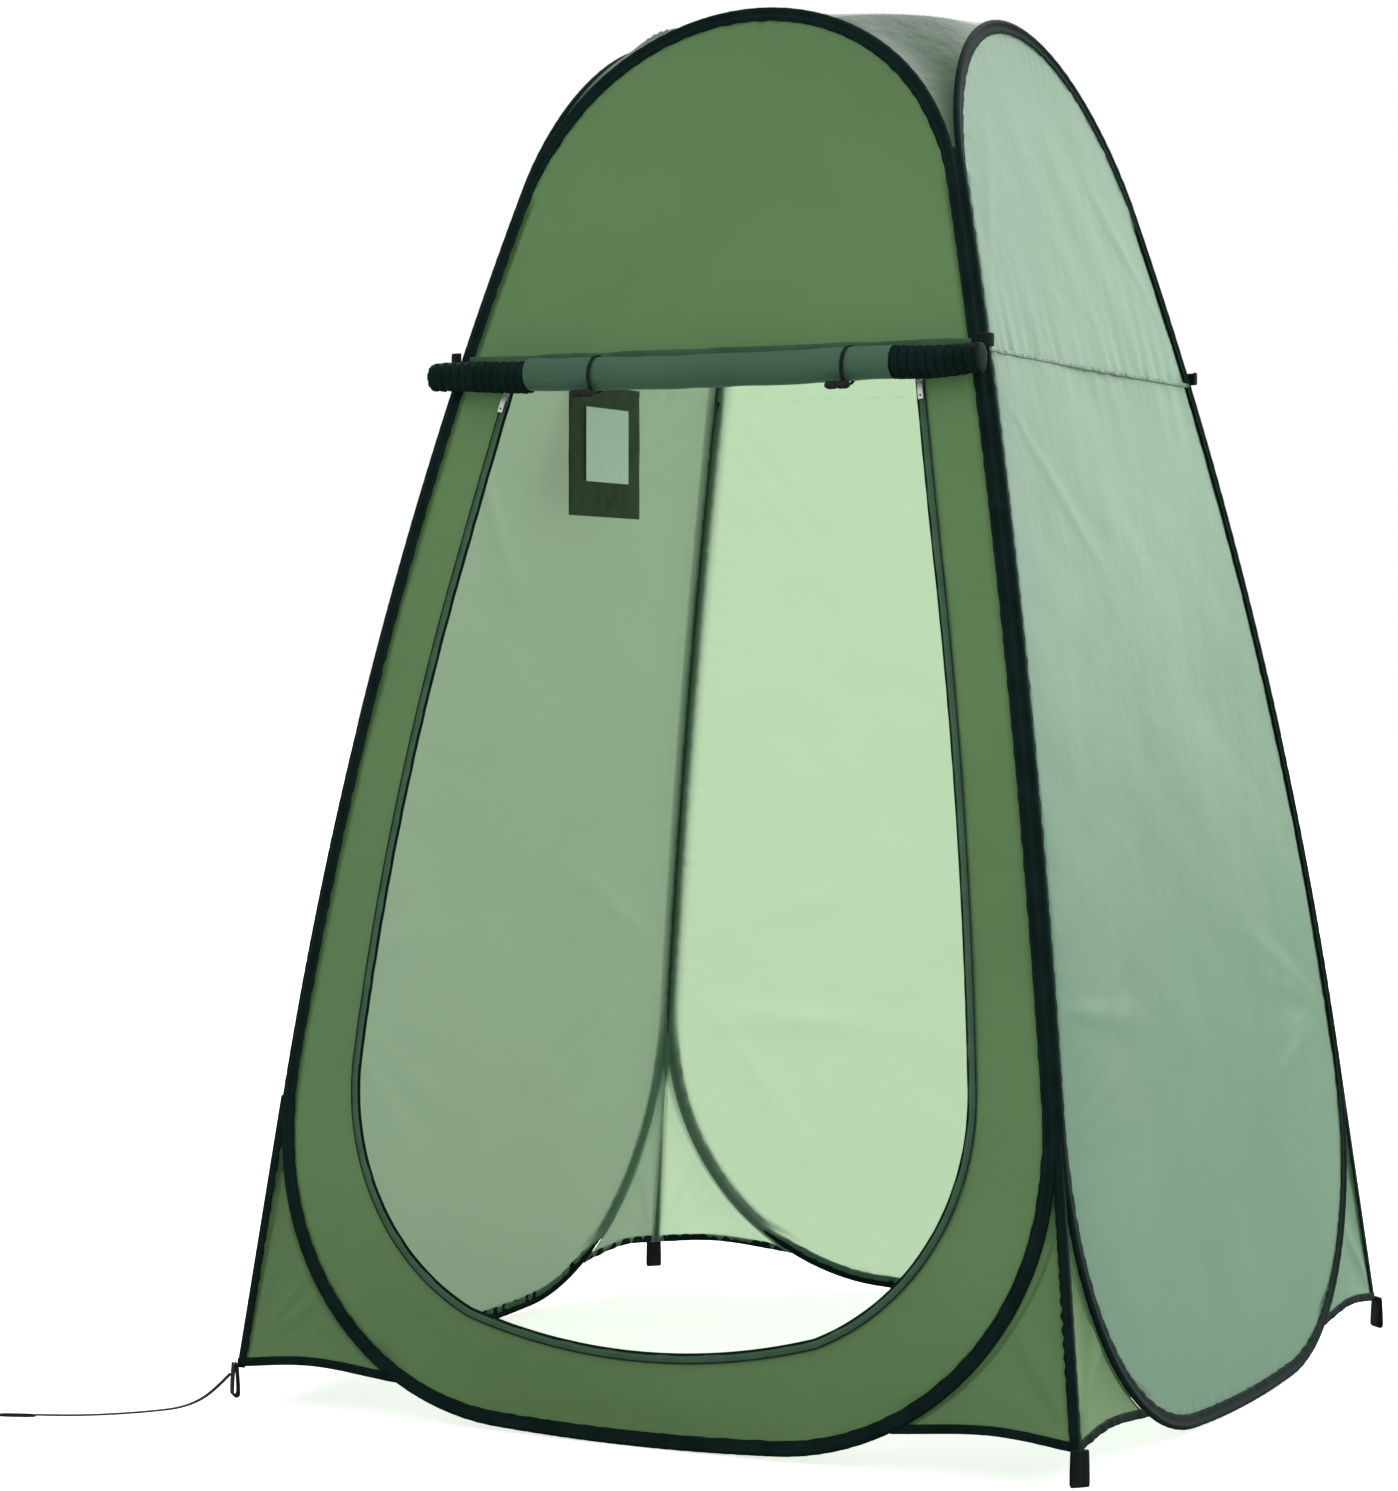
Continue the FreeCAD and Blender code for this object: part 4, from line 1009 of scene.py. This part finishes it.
def make_corner(corner):
    half = hoop_half()
    edge = half + hoop_outwards(half) * 0.002
    top = KNEE_Z - 0.004

    def place(u, v):
        """A point of the first half: u from the hoop to the corner, v from the hem up."""
        z = skirt_edge(u) * (1 - v) + top * v
        left = np.interp(z, edge[:, 2], edge[:, 0])
        return left + (wall_distance(z) - left) * u, z

    def gusset():
        v, u = np.meshgrid(np.linspace(0, 1, 70) ** 0.9, np.linspace(0, 1, 44), indexing="ij")
        x, z = place(u, v)
        middle = np.sin(math.pi * u) * np.sin(math.pi * np.clip(v, 0, 1)) ** 0.6
        foot = (wall_distance(HEM_Z), HEM_Z)
        relief = -0.008 * middle
        for _ in range(SKIRT_CREASES):
            aim = (foot[0] - rng.uniform(0.06, 0.22), rng.uniform(0.06, 0.36))
            relief = relief + 0.0022 * crease(x, z, foot, aim, 0.010) * middle ** 0.5
        relief = relief + 0.0006 * ripple(z + 0.4 * u, 0.02) * np.exp(-(1 - u) * 12)
        relief = relief + 0.0007 * swell(x, z, 0.09) * middle
        from_hoop, to_corner = (x - x[:, :1]), (x[:, -1:] - x)
        relief = relief - (TUCK - 0.0006) * smooth((0.0170 - from_hoop) / 0.010)
        relief = relief - 0.0034 * smooth((0.0170 - to_corner) / 0.006)
        return on_wall(x, z, relief), grid_faces(*x.shape), z, x

    def hem():
        u = np.linspace(0.0, 1.0, 60)
        z = skirt_edge(u) + HEM_WIDTH / 2 - 0.001
        left = np.interp(z, edge[:, 2], edge[:, 0]) - 0.004
        x = left + (wall_distance(z) + 0.001 - left) * u
        path = on_wall(x, z, 0.0004 + 0.0007 * ripple(x, 0.03))
        normal = wall_normal(z)
        return lofted(path, np.cross(tangents(path), normal), normal,
                      tape_profile(HEM_WIDTH, 0.0026))

    def binding():
        z = np.linspace(HEM_Z - 0.002, KNEE_Z - 0.012, 90)
        reach, thick = 0.0115, 0.0013
        corner_x = wall_distance(z) + thick
        path = np.stack([corner_x, -corner_x, z], -1)
        fold = np.array([(0, 0), (reach * 0.5, 0.0004), (reach, 0.0), (reach, -thick * 1.5),
                         (reach * 0.5, -thick * 1.7), (thick, -thick * 1.8)])
        rows = np.broadcast_to(fold, (len(z), *fold.shape)).copy()
        rows[:, 2:4, 0] += (0.0004 * ripple(z, 0.02))[:, None] * 2
        points, faces, along, across = lofted(path, np.broadcast_to([-1.0, 0, 0], path.shape),
                                              wall_normal(z), rows)
        return points, flipped(faces), along, across

    # The back corners' gussets take the walls' cloth with its painted sheen.
    back_with_painted_sheen = corner.startswith("back")
    corner_pieces("gusset_cloth", corner, gusset, WALL_PAINTED_SHEEN if back_with_painted_sheen else SHELL,
                  "gusset_" + corner)
    corner_pieces("gusset_hem", corner, hem, TAPE, "hem_" + corner)
    corner_pieces("gusset_edge", corner, binding, TAPE,
                  "corner_binding_" + corner)
    make_corner_seam(corner)
    make_peg_loop(corner)
    make_shoulder_tab(corner)


def corner_place(name):
    """The ends and the middle of a CAD piece's box, and the ways out and sideways from it."""
    low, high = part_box(name)
    middle = (np.array(low) + np.array(high)) / 2
    out = unit(np.array([middle[0], middle[1], 0.0]))
    return low, high, middle, out, np.array([-out[1], out[0], 0.0])


def make_peg_loop(corner):
    """A webbing loop at a ground corner: one strap down and back up, sewn in at the hem."""
    low, high, middle, out, side = corner_place("peg_loop_" + corner)
    top, bottom = high.z + 0.004, low.z + 0.001
    gap, thick = 0.0042, 0.0018
    drop = (top - bottom) - gap
    turn = np.linspace(0, math.pi, 15)
    down = np.stack([np.full(14, -1.0), np.linspace(top, bottom + gap, 14)], -1)
    bow = gap * (0.45 + 0.55 * np.sin(np.clip((top - down[:, 1]) / drop, 0, 1) * math.pi / 2))
    down[:, 0] = -bow
    bend = np.stack([-gap * np.cos(turn), bottom + gap - gap * np.sin(turn)], -1)
    up = down[::-1] * [-1, 1]
    line = np.concatenate([down, bend[1:-1], up])
    path = middle * [1, 1, 0] + out * line[:, :1] + np.array([0, 0, 1]) * line[:, 1:]
    sides, face = np.broadcast_to(side, path.shape), np.cross(tangents(path), side)
    strip("peg_webbing_" + corner, path, sides, face, tape_profile(0.0235, thick), WEBBING,
          OWNER[corner], "peg_loop_" + corner)


def make_shoulder_tab(corner):
    """The webbing patch folded round the two sleeves at the shoulder."""
    _, _, middle, out, side = corner_place("shoulder_tab_" + corner)
    angle = np.linspace(-1.25, 1.25, 22)
    bow = 0.0135
    start = middle - out * (bow - 0.0015)
    path = start + out * bow * np.cos(angle)[:, None] + side * bow * np.sin(angle)[:, None]
    strip("shoulder_patch_" + corner, path, np.broadcast_to([0.0, 0, 1], path.shape),
          unit(path - start), tape_profile(0.0175, 0.0022), WEBBING, OWNER[corner],
          "shoulder_tab_" + corner)


# ---------------------------------------------------------------- roof
ROOF_HALF = 32            # cells from the roof's middle to its side
ROOF_CORNER = 41          # corner pieces start where the two cell numbers add up to this
ROOF_ROUNDS = 2500        # rounds of relaxing the net
ROOF_START_Z, ROOF_LIFT = CROWN_Z + 0.012, 0.014


def roof_points():
    """The stretched roof between the four arches: a relaxed net, lifted to its top's height."""
    n = 2 * ROOF_HALF + 1
    net = np.zeros((n, n, 3))
    half = hoop_half()
    arch = evenly(half[half[:, 2] > ROOF_START_Z], 0.002)
    v = np.linspace(-1, 1, n)
    side = at_shares(arch, 1 - np.abs(v))
    side[:, 0] *= np.sign(v)
    net[0], net[:, -1] = side, turned(side, "right")
    net[-1], net[:, 0] = turned(side, "back")[::-1], turned(side, "left")[::-1]
    for i, j in ((0, 0), (0, -1), (-1, 0), (-1, -1)):    # two walls' arches meet at one point
        net[i, j, :2] = np.sign(net[i, j, :2]) * np.abs(net[i, j, :2]).mean()
    u = np.linspace(0, 1, n)
    net[1:-1, 1:-1] = (net[0][None, 1:-1] * (1 - u[1:-1, None, None])
                       + net[-1][None, 1:-1] * u[1:-1, None, None])
    k = np.arange(n) - ROOF_HALF
    seams = []
    for sx in (-1, 1):
        for sy in (-1, 1):
            steps = np.arange(ROOF_CORNER - ROOF_HALF, ROOF_HALF + 1)
            i, j = ROOF_HALF + sy * steps, ROOF_HALF + sx * (ROOF_CORNER - steps)
            t = np.linspace(0, 1, len(steps))[:, None]
            seams.append((i, j, net[i[0], j[0]] * (1 - t) + net[i[-1], j[-1]] * t))
    for _ in range(ROOF_ROUNDS):
        net[1:-1, 1:-1] = (net[:-2, 1:-1] + net[2:, 1:-1] + net[1:-1, :-2] + net[1:-1, 2:]) / 4
        for i, j, line in seams:
            net[i, j] = line
    dome = np.outer(1 - v ** 2, 1 - v ** 2) ** 0.7
    to_seam = np.abs(np.abs(k)[:, None] + np.abs(k)[None] - ROOF_CORNER)
    run = (k[:, None] - k[None]) * np.sign(k[:, None] * k[None] + 0.5)
    net[..., 2] += 0.0014 * np.sin(run * 2.1) * np.exp(-to_seam / 1.6) * (dome > 0)
    net[..., 2] += 0.0009 * swell(net[..., 0], net[..., 1], 0.16) * dome
    net[..., 2] += ROOF_LIFT * np.clip(dome * 1.8, 0, 1)
    return net


def roof_key(x, y):
    """The roof's piece that a place belongs to: a wall's quarter, or a corner."""
    across, away = "right" if x > 0 else "left", "back" if y > 0 else "front"
    if abs(x) + abs(y) <= ROOF_CORNER:
        return away if abs(y) > abs(x) else across
    key = away + "_" + across
    return key + ("_a" if x > y else "_b") if key == OPEN_CORNER else key


def make_roof():
    net = roof_points()
    n = 2 * ROOF_HALF + 1
    groups = {}
    for i in range(n - 1):
        for j in range(n - 1):
            a, b, c, d = i * n + j, i * n + j + 1, (i + 1) * n + j + 1, (i + 1) * n + j
            x, y = j + 0.5 - ROOF_HALF, i + 0.5 - ROOF_HALF
            rising = x * y > 0
            on_seam = abs(abs(x) + abs(y) - ROOF_CORNER) < 0.6
            if rising != on_seam:
                cells = ((a, b, c), (a, c, d))
            else:
                cells = ((a, b, d), (b, c, d))
            for cell in cells:
                cx = sum(v % n for v in cell) / 3 - ROOF_HALF
                cy = sum(v // n for v in cell) / 3 - ROOF_HALF
                groups.setdefault(roof_key(cx, cy), []).append(cell)
    flat = net.reshape(-1, 3)
    for key in sorted(groups):
        used = sorted({v for cell in groups[key] for v in cell})
        order = {v: k for k, v in enumerate(used)}
        faces = [tuple(order[v] for v in cell) for cell in groups[key]]
        points = flat[used]
        corner = key.removesuffix("_a").removesuffix("_b")
        body = key if key in WALLS else {"back_right_a": "right", "back_right_b": "back"}.get(key)
        obj = piece("roof_" + key, points, faces, ROOF if key in WALLS else ROOF_DARK, body,
                    points[:, 1], points[:, 0])
        if key in WALLS:
            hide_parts("roof_top")
            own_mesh(obj)
        else:
            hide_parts("roof_corner_" + corner)
            if not body:
                bend_at(obj)


# ---------------------------------------------------------------- pocket and card
def make_pocket():
    """The pocket that hangs plumb inside the left wall, with the card on its slack front."""
    low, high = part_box("inner_pocket")
    y, z = np.meshgrid(np.linspace(low.y, high.y, 50),
                       np.linspace(low.z + 0.001, high.z - 0.001, 50))
    u, v = (y - low.y) / (high.y - low.y), (z - low.z) / (high.z - low.z)
    sway = 0.0006 * swell(y, z, 0.06) * v
    back = low.x + 0.0028 + sway
    belly = 0.0036 * np.sin(math.pi * u) ** 0.4 * smooth(v / 0.08)
    crumple = 0.0007 * swell(y, z, 0.035) * np.sin(math.pi * u) * (1 - v) ** 0.5
    front = back + belly + crumple * smooth(v / 0.08)
    faces = grid_faces(*y.shape)
    points, faces, along, across = joined([
        (np.stack([front, y, z], -1), faces, z, y),
        (np.stack([back, y, z], -1), flipped(faces), z, y)])
    bag = piece("pocket_cloth_bag", points, faces, POCKET, "left", along, across,
                "inner_pocket")
    parts = []
    for x in (back, front):
        top = np.stack([x[-1], y[-1], z[-1]], -1)
        side, face = framed(top, (1, 0, 0))
        parts.append(lofted(top, side, face, tape_profile(0.009, 0.0014)))
    points, faces, along, across = joined(parts)
    piece("pocket_hem", points, faces, POCKET, "left", along, across)


def finish_carried_nodes():
    """Materials of the CAD pieces that stay as they are."""
    kinds = {"hoop_wire_": STEEL, "hoop_ferrule_": STEEL, "zip_slider_": METAL,
             "zip_pull_": METAL, "toggle_": PLASTIC, "pocket_card": CARD}
    for name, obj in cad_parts.items():
        for start, material in kinds.items():
            if name.startswith(start):
                obj.data.materials.clear()
                obj.data.materials.append(material)


# ---------------------------------------------------------------- build
make_camera()
make_strap()
make_light()
make_floor()
whole, narrow = Outline(), Outline(OPEN_INSET)
for wall in WALLS:
    make_sleeve(wall)
panel("gable_cloth_front", "front", SHOULDER_Z, HEIGHT, SHELL, "gable_front",
      whole)
# The side and back walls take the cloth with the painted sheen.
for wall in ("right", "back", "left"):
    outline = narrow if wall == "back" else whole
    for part, low, high in (("lower_", 0.0, SHOULDER_Z), ("upper_", SHOULDER_Z, HEIGHT)):
        panel("wall_cloth_" + part + wall, wall, low, high, WALL_PAINTED_SHEEN,
              "wall_" + part + wall, outline)
shoulder_seam("right", whole)
make_surround(whole)
make_zip()
make_header()
make_roll()
make_roll_loops()
for corner in CORNERS:
    make_corner(corner)
make_roof()
make_pocket()
finish_carried_nodes()
